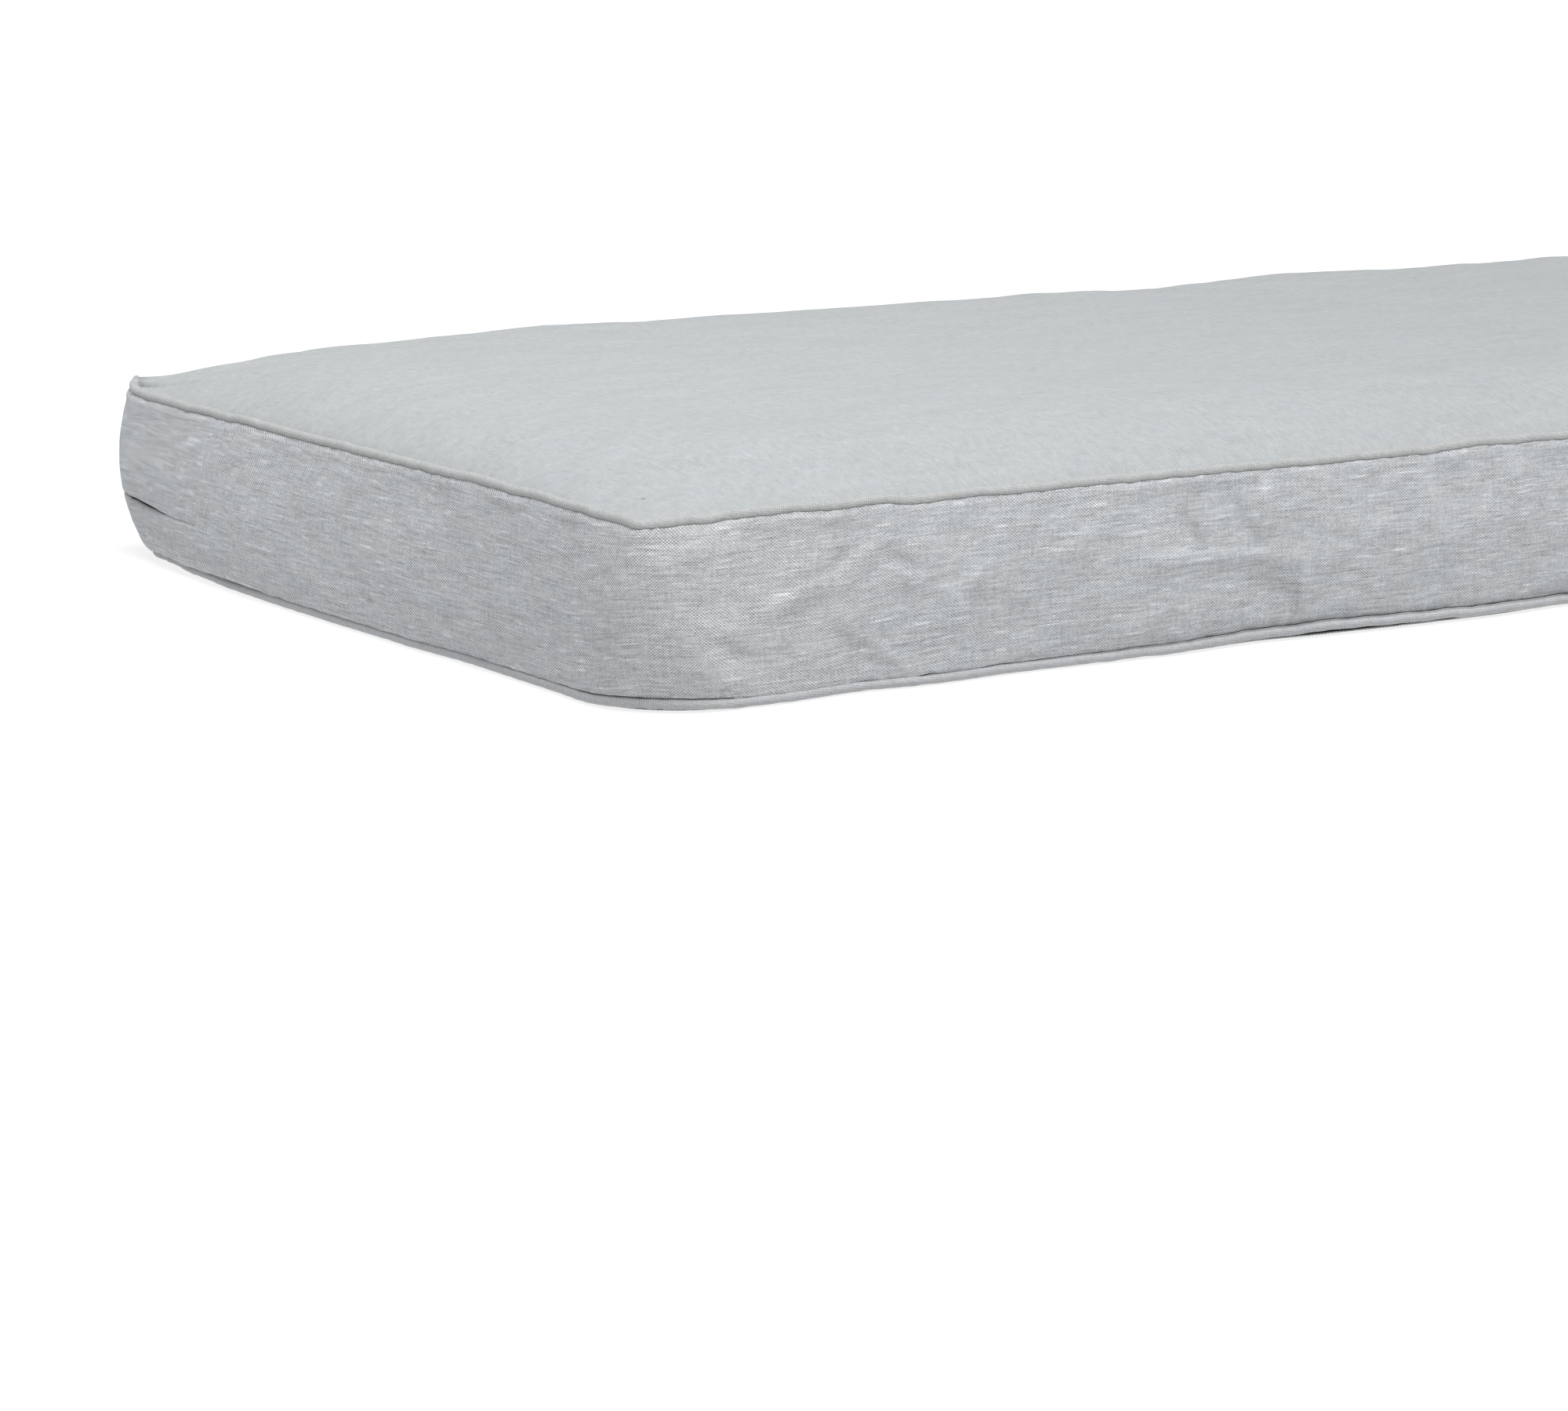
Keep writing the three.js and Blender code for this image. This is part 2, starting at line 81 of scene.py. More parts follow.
# Where the piping lies from the seams, which way its own seam faces, in degrees up from outward, how
# high the lower one's middle stays over the floor, and the lumps of its cord.
PIPING_IN = 3.35
PIPING_RISE = 1.7
TOP_SEAM_TURN = 318.0
FOOT_SEAM_TURN = 66.0
FOOT_PIPING_IN = 2.1
PIPING_REST = 1.12 * PIPING_RADIUS
LUMP, LUMP_LENGTH = 0.03, 14
LONG_LUMP, LONG_LUMP_LENGTH = 0.02, 45

# The upper panel's edge beside the piping, and how it rises from there to the crown. The places of
# CROWN_RUNS go round the wall, and the smaller a run, the sooner the panel rises.
PANEL_EDGE_IN = PIPING_IN + PIPING_RADIUS + 0.1
PANEL_EDGE_RISE = 4.0
PANEL_HEM_OUT = 0.25
PANEL_HEM_RISE = 1.6
PANEL_LIP_OUT = 0.4
PANEL_LIP_RISE = 3.7
EDGE_RUN = 20.0
CROWN_RUNS = ((0, 160, 1740, 2000, 4480, 4560, 5100, 5200), (42, 55, 55, 20, 20, 34, 34, 42))
PANEL_REACH = 328.0
PANEL_SWELL_REACH = 110.0
PANEL_ROUNDING = 0.8
ROUNDEST = 0.9 * CORNER_ZONE

# How the cut ends and the lips of the closure fold in, and how unlike a crease's two flanks are.
END_ROLL = 0.7
END_ROLL_RUN = 1.4
LIP_FOLD = 0.8
LIP_FOLD_RUN = 1.0
LEAST_RADIUS = 6.0
CREASE_STEEP = 0.75
CREASE_EASY = 1.9
CREASE_FADE = 0.12

# Soft unevenness, as rows of height, length of the bumps and seed, and how far from an edge it is full.
TOP_SEAM_WAVES = ((0.35, 62, 11), (0.22, 24, 12))
BOTTOM_SEAM_WAVES = ((0.25, 34, 13),)
RIM_WAVES = ((0.5, 70, 34),)
WALL_WAVES = ((1.0, 150, 21), (0.6, 52, 22), (0.16, 18, 23))
WALL_WAVES_FULL = 16
PANEL_WAVES = ((0.9, 210, 41), (0.35, 60, 42))
PANEL_WAVES_FULL = 34
PANEL_WAVES_END = 60
PANEL_FINE_WAVES = ((0.1, 20, 43),)
PANEL_FINE_FULL = 8
PANEL_FINE_LEAST = 0.4
RIDGES_FULL = 14
WAVE_LENGTHS = (0.7, 1.5)
PLANE_WAVES = 22
RING_WAVES = 16

# The small pulls of the sewing thread, and the seed of each seam's.
PUCKER = 0.22
PUCKER_LENGTH = 11
PUCKER_REACH = 6
OVER_SEED, UNDER_SEED, PANEL_SEED = 31, 32, 33
PANEL_PUCKER = 0.5

# The mattress stays inside its cover by these.
WALL_SLACK = 5.0
RIM_SLACK = 3.2
PANEL_SLACK = 1.2
CROWN_SLACK = 2.2
CROWN_SLACK_RUN = 40
PIPING_SLACK = 2.4
FLOOR_SLACK = 0.6

# The slit between the closure's two strips: how far round the back corners it reaches, where and how
# wide it gapes at the back left corner, and how far the lower lip lies behind the upper one there.
CLOSURE_WRAP = 140.0
SLIT_END = 112.0
SLIT_LEVEL = 0.355
SLIT_LEVEL_AT_SEAM = 0.3
SLIT_OPEN_AT = 55.0
SLIT_OPEN_REACH = 36.0
SLIT_OPEN = 2.8
SLIT_SHUT = 0.2
LIP_SET_BACK = 2.4
LIP_RUN = 9.0

# Rows of the walls: the height they are spread over, the first step beside an edge and the widest one.
# The inner face keeps fewer of them.
WALL_ROWS = (104, 0.5, 2.2)
UPPER_STRIP_ROWS = (66, 0.5, 3.4)
LOWER_STRIP_ROWS = (36, 0.5, 3.4)
STEP_GROWTH = 1.35
INNER_EVERY = 4

# Rows of the panels and the mattress, by how far they lie in from the edge or by their level on the
# wall. Graded rows have a first step, a widest step and a reach, even ones a start, an end and a count.
PANEL_EDGE_ROWS = (0.7, 6.0, 120.0)
PANEL_MIDDLE_ROWS = (124.0, PANEL_REACH, 24)
PANEL_INNER_ROWS = (0.0, 3.0, 10.0, 26.0, 60.0, 120.0, PANEL_REACH)
UNDERSIDE_ROWS = (0.0, 6.0, 20.0, 60.0, 120.0, 200.0, 290.0)
MATTRESS_LEVELS = (0.1, 0.2, 0.35, 0.5, 0.65, 0.8, 0.9)
MATTRESS_RIM_LEVEL = 0.985
MATTRESS_ROWS = (6.0, 13.0, 27.0, 52.0, 80.0, 110.0, 200.0, PANEL_REACH)
MATTRESS_GIRTH_ROW = 5

# Columns round the cover: how many turn and blend at each corner, and their pitches from a place on each
# side up to the next.
CORNER_STEPS = (40, 16, 16, 28)
BLEND_STEPS = (18, 8, 8, 14)
PITCHES = (
    ((86.0, 2.3), (760.0, 3.8)),
    ((86.0, 7.0),),
    ((86.0, 9.0),),
    ((86.0, 4.0), (300.0, 4.4)),
)

# How the wall stands, station by station, going round from the viewer's corner along the front, the
# right end, the back and the left end: the heights of the two seams, the swell at half height, how far
# the lower edge stands out past the upper seam and is rolled under, and how high the panel swells there.
STATION_COLUMNS = ("along", "top", "bottom", "belly", "foot", "tuck", "crest")
STATIONS = np.array([
    (0, 111.2, 8.6, 4, 4.5, 0, 122),
    (45, 111.7, 6.8, 4, 5.2, 0, 128),
    (98, 113.1, 6.4, 4, 5.4, 0, 136),
    (153, 112.5, 6.6, 4.5, 0, 0, 140),
    (209, 111.4, 6.9, 4, 3.8, 0, 142),
    (268, 111.4, 7.2, 4.5, 0, 0, 143),
    (385, 111.4, 7.8, 4, 2.2, 0, 144),
    (450, 111.1, 8.8, 5, -3.5, 0, 143),
    (509, 110.7, 10.2, 4, 0.4, 0, 143),
    (571, 110.8, 9.4, 4, 2.8, 0, 144),
    (636, 112.4, 8.6, 4, 3, 0, 143),
    (706, 111.3, 8, 4.5, -3.2, 0, 143),
    (900, 111.6, 7.2, 4, 3, 0, 144),
    (1150, 110.6, 7.8, 5, 0, 0, 142),
    (1400, 111.6, 7, 4, 4, 0, 144),
    (1700, 110.8, 7.4, 5, 2, 0, 140),
    (1900, 111.8, 8.6, 4, 4.5, 0, 122),
    (2020, 110.4, 6.8, 5, 9, 0, 139),
    (2250, 111.4, 6.4, 4, 15, 0, 144),
    (2480, 110.2, 6.6, 5, 9, 0, 139),
    (2600, 111.6, 8.2, 4, 5, 0, 122),
    (2780, 110.6, 7, 4, 5, 0, 140),
    (3000, 111.4, 7.4, 5, 3, 0, 143),
    (3225, 110.4, 7, 4, 6, 0, 139),
    (3390, 111.2, 7.4, 4, 4, 0, 141),
    (3545, 111.4, 7.6, 5, 3, 0, 144.5),
    (3698, 110.6, 7.2, 4, 5, 0, 138.5),
    (3771, 110.8, 7, 4, 5, 0, 142),
    (3843, 110.6, 7.2, 4, 4, 0, 140),
    (3982, 111.2, 7.4, 5, 4, 0, 144),
    (4150, 110.4, 7, 4, 5, 0, 146),
    (4330, 110.6, 6.8, 5, 6, 0, 145),
    (4400, 112.6, 7.5, 5, 7, 7, 142),
    (4440, 114.4, 5.6, 5, 7.5, 10, 137),
    (4478, 115.0, 4.8, 6.2, 8.4, 10, 131),
    (4500, 110.8, 4.8, 6.6, 9, 10, 126),
    (4535, 109, 5.4, 6.2, 8.6, 11, 129),
    (4562, 110.1, 5.8, 5.5, 11, 11, 133),
    (4620, 110.2, 6.2, 4.5, 16.5, 10, 139),
    (4688, 111.2, 7.4, 4, 18, 7, 141),
    (4755, 110.8, 6.4, 4, 15.8, 4, 143),
    (4810, 111.4, 6.4, 4, 15, 4, 144),
    (4913, 112, 6.4, 4, 12.4, 4, 144),
    (5004, 113.2, 6.5, 4, 6.4, 3, 142),
    (5100, 112.9, 6.6, 4, 5, 1.5, 137),
    (5160, 111.7, 7, 4, 4.5, 0, 128),
    (PERIMETER, 111.2, 8.6, 4, 4.5, 0, 122),
])

# The four corners, in the order of the sides that start there: the ear's rise and reach, the plan's
# radius at the two seams, and how soon the one becomes the other on the way down.
CORNER_UP = np.array([0.3, 2.4, 2.6, 5.6])
CORNER_OUT = np.array([0.5, 2.0, 2.0, 1.2])
CORNER_TIGHT = np.array([11.0, 10.0, 10.0, 8.0])
CORNER_OPEN = np.array([66.0, 60.0, 60.0, 52.0])
CORNER_EASE = np.array([1.3, 1.4, 1.4, 1.6])

# Creases of the wall: their middle along it and above the floor, the way they run in degrees from level,
# half their length and width, and how far they stand out (or, below zero, fall in).
CREASES = (
    (69, 34, -23, 17, 4, -1.8),
    (72, 45, -10, 24, 6, 1.4),
    (37, 97, 30, 13, 5.2, 1.4),
    (107, 64, 20, 30, 4.6, 1.7),
    (112, 53, 18, 28, 6, -1.7),
    (137, 82, 37, 10, 4, -2.6),
    (121, 84, 26, 14, 5.2, 1.7),
    (158, 86, 38, 16, 6, 2.1),
    (178, 81, -30, 11, 3.8, -2.3),
    (191, 68, -13, 13, 3.6, 2.0),
    (142, 35, -45, 11, 4.4, -1.9),
    (171, 24, -40, 17, 3.6, 2.1),
    (100, 12, -80, 7, 2.6, -0.9),
    (228, 60, 24, 26, 7.7, 1.7),
    (262, 40, -30, 26, 7.7, -1.7),
    (310, 78, 30, 26, 7.7, 1.7),
    (398, 75, -56, 15, 5.2, -2.9),
    (397, 21, -76, 10, 3.4, 2.4),
    (368, 26, 16, 22, 6.9, 2.1),
    (438, 79, -53, 23, 6, -2.7),
    (453, 90, 88, 17, 3.6, 3.4),
    (417, 60, -4, 62, 4.7, 2.9),
    (459, 39, -34, 26, 8.6, -3.8),
    (483, 29, 86, 19, 3.6, 4.1),
    (520, 46, 24, 26, 6.9, -1.7),
    (589, 77, -69, 30, 4.7, 2.0),
    (664, 66, -75, 34, 4.1, 2.9),
    (700, 40, 30, 30, 8.6, -2.1),
    (820, 62, -34, 30, 10, 1.3),
    (980, 72, 35, 36, 10, 1.8),
    (1240, 48, -28, 40, 11, 2.0),
    (1530, 78, 22, 36, 11, -1.8),
    (1740, 50, 60, 32, 10, 2.0),
    (2060, 60, -40, 34, 11, 1.7),
    (2390, 70, 30, 34, 11, 1.6),
    (2950, 74, 25, 44, 12, 1.8),
    (3420, 72, -30, 44, 12, 1.8),
    (3900, 76, 20, 44, 12, 1.8),
    (4690, 76, 24, 24, 9, 0.7),
    (4860, 60, -28, 30, 9, 0.7),
    (4985, 84, 30, 22, 8, -0.6),
    (5070, 44, -24, 24, 8, 0.6),
)

# How far the level threads have drifted up from the seams, at places along the front from its corner.
THREAD_DRIFT = ((-80, 0, 50, 130, 220, 320), (0, 8.0, 5.2, 5.2, 10.0, 11.0))

# Soft ridges of the upper panel, in plan: middle, the way they run in degrees from X, half their length
# and width, and their height.
RIDGES = (
    (-560, -318, 30, 60, 12, 1.2),
    (-330, -316, 24, 70, 13, 1.4),
    (-120, -318, 28, 60, 12, 1.3),
    (200, -316, 26, 60, 13, 1.2),
    (520, -318, -24, 60, 13, 1.2),
    (-640, 300, -20, 70, 14, 1.2),
    (-200, 310, 24, 70, 14, 1.3),
    (330, 312, -22, 70, 14, 1.2),
    (-905, -120, 68, 50, 12, 1.1),
    (-900, 130, -66, 50, 12, 1.1),
    (900, -60, 70, 50, 12, 1.1),
    (895, 170, -62, 50, 12, 1.1),
)

SIDE_RUN = np.array([(1, 0), (0, 1), (-1, 0), (0, -1)], float)
SIDE_OUT = np.array([(0, -1), (1, 0), (0, 1), (-1, 0)], float)
SIDE_HALF = np.array([HALF_LENGTH, HALF_WIDTH, HALF_LENGTH, HALF_WIDTH])
SIDE_DEPTH = np.array([HALF_WIDTH, HALF_LENGTH, HALF_WIDTH, HALF_LENGTH])
SIDE_START = np.array([0.0, LENGTH, LENGTH + WIDTH, 2 * LENGTH + WIDTH])
SEAM_RIGHT = SIDE_START[2] - CLOSURE_WRAP
SEAM_LEFT = SIDE_START[3] + CLOSURE_WRAP
ARC, BLEND, SIDE = 0, 1, 2


def smooth(t):
    held = np.clip(t, 0, 1)
    return held * held * (3 - 2 * held)


def station(along, name):
    """A column of STATIONS at any places round the wall."""
    place = np.mod(along, PERIMETER)
    column = STATIONS[:, STATION_COLUMNS.index(name)]
    row = np.searchsorted(STATIONS[:, 0], place, side="right").clip(1, len(STATIONS) - 1)
    start, end = STATIONS[row - 1, 0], STATIONS[row, 0]
    share = smooth((place - start) / (end - start))
    return column[row - 1] + (column[row] - column[row - 1]) * share


def waves(points, length, seed):
    """A soft uneven field, about -1 to 1, with bumps of the given length, at points in space."""
    draw = np.random.default_rng(seed)
    way = draw.normal(size=(PLANE_WAVES, points.shape[-1]))
    way /= np.linalg.norm(way, axis=1, keepdims=True)
    pitch = 2 * math.pi / (length * draw.uniform(*WAVE_LENGTHS, PLANE_WAVES))
    phase = draw.uniform(0, 2 * math.pi, PLANE_WAVES)
    total = np.zeros(points.shape[:-1])
    for k in range(PLANE_WAVES):
        total += np.cos(points @ (way[k] * pitch[k]) + phase[k])
    return total / math.sqrt(PLANE_WAVES)


def ring_waves(along, length, seed):
    """The same along the closed line round the cover, for seams and piping."""
    draw = np.random.default_rng(seed)
    turns = np.round(PERIMETER / (length * draw.uniform(*WAVE_LENGTHS, RING_WAVES)))
    phase = draw.uniform(0, 2 * math.pi, RING_WAVES)
    angle = 2 * math.pi * np.asarray(along)[..., None] / PERIMETER * turns + phase
    return np.cos(angle).sum(-1) / math.sqrt(RING_WAVES)


def summed(field, places, rows):
    """The sum of fields, which are waves or ring_waves, over rows of height, length and seed."""
    return sum(height * field(places, length, seed) for height, length, seed in rows)


def bumps(rows, x, y, steep=1.0, easy=1.0):
    """The sum of long soft bumps, listed as CREASES and RIDGES are. steep and easy scale the flanks."""
    total = np.zeros(np.broadcast(x, y).shape)
    for middle_x, middle_y, angle, reach, width, height in rows:
        turn = math.radians(angle)
        dx, dy = x - middle_x, y - middle_y
        way = (dx * math.cos(turn) + dy * math.sin(turn)) / reach
        across = (dy * math.cos(turn) - dx * math.sin(turn)) / width
        across = np.where(across > 0, across / steep, across / easy)
        total += height * np.exp(-way * way - across * across)
    return total


class Columns:
    """Places round the cover, where every row of its walls, panels and piping has a point. turn goes
    round an arc, share over a blend and from_start along a side. along is the place round the whole
    cover, and ear is how much of the corner's ear there is."""

    NAMES = ("kind", "side", "corner", "turn", "share", "at_end", "from_start", "along", "ear")

    def __init__(self, records):
        for k, name in enumerate(self.NAMES):
            values = np.array([record[k] for record in records], float)
            whole = name in ("kind", "side", "corner")
            setattr(self, name, values.astype(int) if whole else values)
        self.count = len(records)
        self.records = records
        self.unrolled_from = 2 * PERIMETER

    def between(self, start, end):
        """The columns from one place round the wall to another, with one at each cut end."""
        span = (end - start) % PERIMETER
        along = self.NAMES.index("along")
        inside = [((record[along] - start) % PERIMETER, record) for record in self.records]
        kept = sorted(pair for pair in inside if LEAST_TO_CUT < pair[0] < span - LEAST_TO_CUT)
        return Columns([end_column(start), *[record for _, record in kept], end_column(end)])


def arc_records(index):
    spread = CORNER_MIDDLE * math.pi / 4
    steps = CORNER_STEPS[index]
    records = []
    for k in range(steps + 1):
        share = k / steps
        turn = share * math.pi / 2
        ear = EAR_AT_ARC_END + (1 - EAR_AT_ARC_END) * math.sin(2 * turn)
        along = (SIDE_START[index] + (2 * share - 1) * spread) % PERIMETER
        records.append((ARC, index, index, turn, 0, 0, 0, along, ear))
    return records


def blend_records(index, at_end):
    corner = (index + 1) % 4 if at_end else index
    steps = BLEND_STEPS[corner]
    first = 1.0 / (CORNER_ZONE - CORNER_MIDDLE)
    records = []
    for k in range(steps):
        share = first + (1 - first) * k / steps
        from_corner = CORNER_MIDDLE + share * (CORNER_ZONE - CORNER_MIDDLE)
        end = SIDE_START[index] + 2 * SIDE_HALF[index]
        along = end - from_corner if at_end else SIDE_START[index] + from_corner
        ear = EAR_AT_ARC_END * math.exp(-share * CORNER_ZONE / EAR_RUN)
        records.append((BLEND, index, corner, 0, share, at_end, 0, along, ear))
    return records[::-1] if at_end else records


def side_record(index, place):
    corner = index if place < SIDE_HALF[index] else (index + 1) % 4
    along = SIDE_START[index] + place
    return (SIDE, index, corner, 0, 0, 0, place, along, 0.0)


def end_column(along):
    place = along % PERIMETER
    index = int(np.searchsorted(SIDE_START, place, side="right")) - 1
    return side_record(index, place - SIDE_START[index])


def side_records(index):
    last = 2 * SIDE_HALF[index] - CORNER_ZONE
    stops = [*PITCHES[index], (last, None)]
    records = []
    for (start, pitch), (end, _) in zip(stops, stops[1:]):
        steps = round((end - start) / pitch)
        records += [side_record(index, start + (end - start) * k / steps) for k in range(steps)]
    return [*records, side_record(index, last)]


def all_columns():
    records = []
    for index in range(4):
        records += arc_records(index)
        records += blend_records(index, False)
        records += side_records(index)
        records += blend_records(index, True)
    return Columns(records)


RING = all_columns()


def plan_point(columns, off, radius):
    """Points in plan on the outline that stands off from the nominal rectangle."""
    half0 = SIDE_HALF[columns.side]
    half = half0 + off
    depth = SIDE_DEPTH[columns.side] + off
    arc_run = -(half - radius) - radius * np.cos(columns.turn)
    arc_out = depth - radius + radius * np.sin(columns.turn)
    blend_start, blend_end = half - radius, (half0 - CORNER_ZONE) * (half / half0)
    blend_run = blend_start + columns.share * (blend_end - blend_start)
    blend_run = blend_run * np.where(columns.at_end > 0, 1, -1)
    side_run = (columns.from_start - half0) * (half / half0)
    run = np.select([columns.kind == ARC, columns.kind == BLEND], [arc_run, blend_run], side_run)
    out = np.where(columns.kind == ARC, arc_out, depth)
    return SIDE_RUN[columns.side] * run[:, None] + SIDE_OUT[columns.side] * out[:, None]


def cloth_place(columns, radius):
    """How far along the sides a row's points lie, so that the upright threads stay upright."""
    start = SIDE_START[columns.side]
    end = start + 2 * SIDE_HALF[columns.side]
    from_corner = radius + columns.share * (CORNER_ZONE - radius)
    arc = start + (4 * columns.turn / math.pi - 1) * radius
    blend = np.where(columns.at_end > 0, end - from_corner, start + from_corner)
    side = start + columns.from_start
    place = np.select([columns.kind == ARC, columns.kind == BLEND], [arc, blend], side)
    return np.where(place >= columns.unrolled_from, place - PERIMETER, place)


def space_point(columns, off, radius, height):
    plan = plan_point(columns, off, radius)
    return np.column_stack([plan, np.broadcast_to(height, (columns.count,))])


def corner_radius(columns, level):
    tight, open_ = CORNER_TIGHT[columns.corner], CORNER_OPEN[columns.corner]
    return tight + (open_ - tight) * np.power(1 - level, CORNER_EASE[columns.corner])


def top_seam(columns):
    place = cloth_place(columns, CORNER_TIGHT[columns.corner])
    wobble = summed(ring_waves, place, TOP_SEAM_WAVES)
    return station(columns.along, "top") + wobble + CORNER_UP[columns.corner] * columns.ear


def bottom_seam(columns):
    return station(columns.along, "bottom") + summed(ring_waves, columns.along, BOTTOM_SEAM_WAVES)


def ear_out(columns):
    return CORNER_OUT[columns.corner] * columns.ear


def seam_pucker(along, from_seam, seed):
    """Small pulls of the sewing thread, which run out a little way from the seam."""
    return PUCKER * ring_waves(along, PUCKER_LENGTH, seed) * np.exp(-from_seam / PUCKER_REACH)


def wall_point(columns, level, depth, creased=True):
    """Points inside the outer face of the wall, by the given depth, at levels from seam to seam."""
    low, high = bottom_seam(columns), top_seam(columns)
    height = low + (high - low) * level
    lean = station(columns.along, "foot") * (1 - level) + ear_out(columns) * level
    belly = station(columns.along, "belly") * np.sin(np.pi * level)
    under, over = height - low, high - height
    roll = TOP_ROLL * np.exp(-over / TOP_ROLL_HEIGHT) + FOOT_ROLL * np.exp(-under / FOOT_ROLL_HEIGHT)
    recess = FOOT_RECESS * recess_share(columns) * np.exp(-under / FOOT_RECESS_HEIGHT)
    tucked = UNDER_ROLL * station(columns.along, "tuck") * np.exp(-under / UNDER_ROLL_HEIGHT)
    rim = (over - TOP_RIM_DOWN) / TOP_RIM_HEIGHT
    place = cloth_place(columns, corner_radius(columns, level))
    off = lean + belly
    if creased:
        off = off + TOP_RIM * np.exp(-rim * rim) * (1 + summed(ring_waves, place, RIM_WAVES))
        fade = smooth(level / CREASE_FADE) * smooth((1 - level) / CREASE_FADE)
        off = off + bumps(CREASES, np.mod(place, PERIMETER), height, CREASE_STEEP, CREASE_EASY) * fade
        rough = space_point(columns, off, corner_radius(columns, level), height)
        off = off + summed(waves, rough, WALL_WAVES) * smooth(np.minimum(under, over) / WALL_WAVES_FULL)
        off = off + seam_pucker(place, over, OVER_SEED) + seam_pucker(place, under, UNDER_SEED)
    inside = depth + roll + recess + tucked
    return space_point(columns, off - inside, corner_radius(columns, level) - inside, height)


def recess_share(columns):
    """How much of the recess over the lower piping there is, from 0 to 1."""
    place, total = columns.along, 0.0
    for side, after, rise, before, fall in RECESS_SPANS:
        start, end = SIDE_START[side], SIDE_START[side] + 2 * SIDE_HALF[side]
        total = total + smooth((place - start - after) / rise) * smooth((end - before - place) / fall)
    return total


def slit_level(columns):
    from_seam = np.minimum(columns.along - SEAM_RIGHT, SEAM_LEFT - columns.along)
    return SLIT_LEVEL_AT_SEAM + (SLIT_LEVEL - SLIT_LEVEL_AT_SEAM) * smooth(from_seam / CLOSURE_WRAP)


def slit_gap(columns):
    from_corner = columns.along - SIDE_START[3]
    reach = (from_corner - SLIT_OPEN_AT) / SLIT_OPEN_REACH
    closed = smooth((SLIT_END - np.abs(from_corner)) / SLIT_OPEN_REACH)
    gape = SLIT_OPEN * np.exp(-reach * reach) * np.where(from_corner > 0, closed, 1)
    return SLIT_SHUT + gape


def panel_point(columns, inset, depth, creased=True):
    """Points of the upper panel, from its edge beside the piping up over the swell to the crown."""
    edge_share = math.exp(-inset / EDGE_RUN)
    off = ear_out(columns) * edge_share - PANEL_EDGE_IN - inset
    radius = CORNER_TIGHT[columns.corner] - PANEL_EDGE_IN * edge_share + PANEL_ROUNDING * inset
    radius = np.minimum(radius, ROUNDEST * (HALF_WIDTH + off) / HALF_WIDTH)
    plan = plan_point(columns, off, radius)
    from_corner = np.hypot(HALF_LENGTH - np.abs(plan[:, 0]), HALF_WIDTH - np.abs(plan[:, 1]))
    place = cloth_place(columns, radius)
    run = np.interp(np.mod(place, PERIMETER), *CROWN_RUNS)
    share = np.clip((1 - np.exp(-inset / run)) / (1 - np.exp(-PANEL_SWELL_REACH / run)), 0, 1)
    swell = np.power(share, 1 + np.exp(-np.square(from_corner / EAR_FADE)))
    edge = top_seam(columns) + PANEL_EDGE_RISE
    crest = station(place, "crest")
    level = smooth(inset / PANEL_SWELL_REACH)
    height = edge + (crest - edge) * swell + (CROWN_HEIGHT - crest) * level
    points = np.column_stack([plan, height])
    if creased:
        held = smooth(inset / PANEL_WAVES_FULL) * smooth((PANEL_REACH - inset) / PANEL_WAVES_END)
        flat = points * (1, 1, 0)
        fine = summed(waves, flat, PANEL_FINE_WAVES) * smooth(inset / PANEL_FINE_FULL)
        broad = summed(waves, flat, PANEL_WAVES) * held
        points[:, 2] += broad + fine * min(1.0, held + PANEL_FINE_LEAST)
        points[:, 2] += bumps(RIDGES, points[:, 0], points[:, 1]) * smooth(inset / RIDGES_FULL)
        points[:, 2] += PANEL_PUCKER * seam_pucker(place, inset, PANEL_SEED)
    points[:, 2] -= depth
    return points


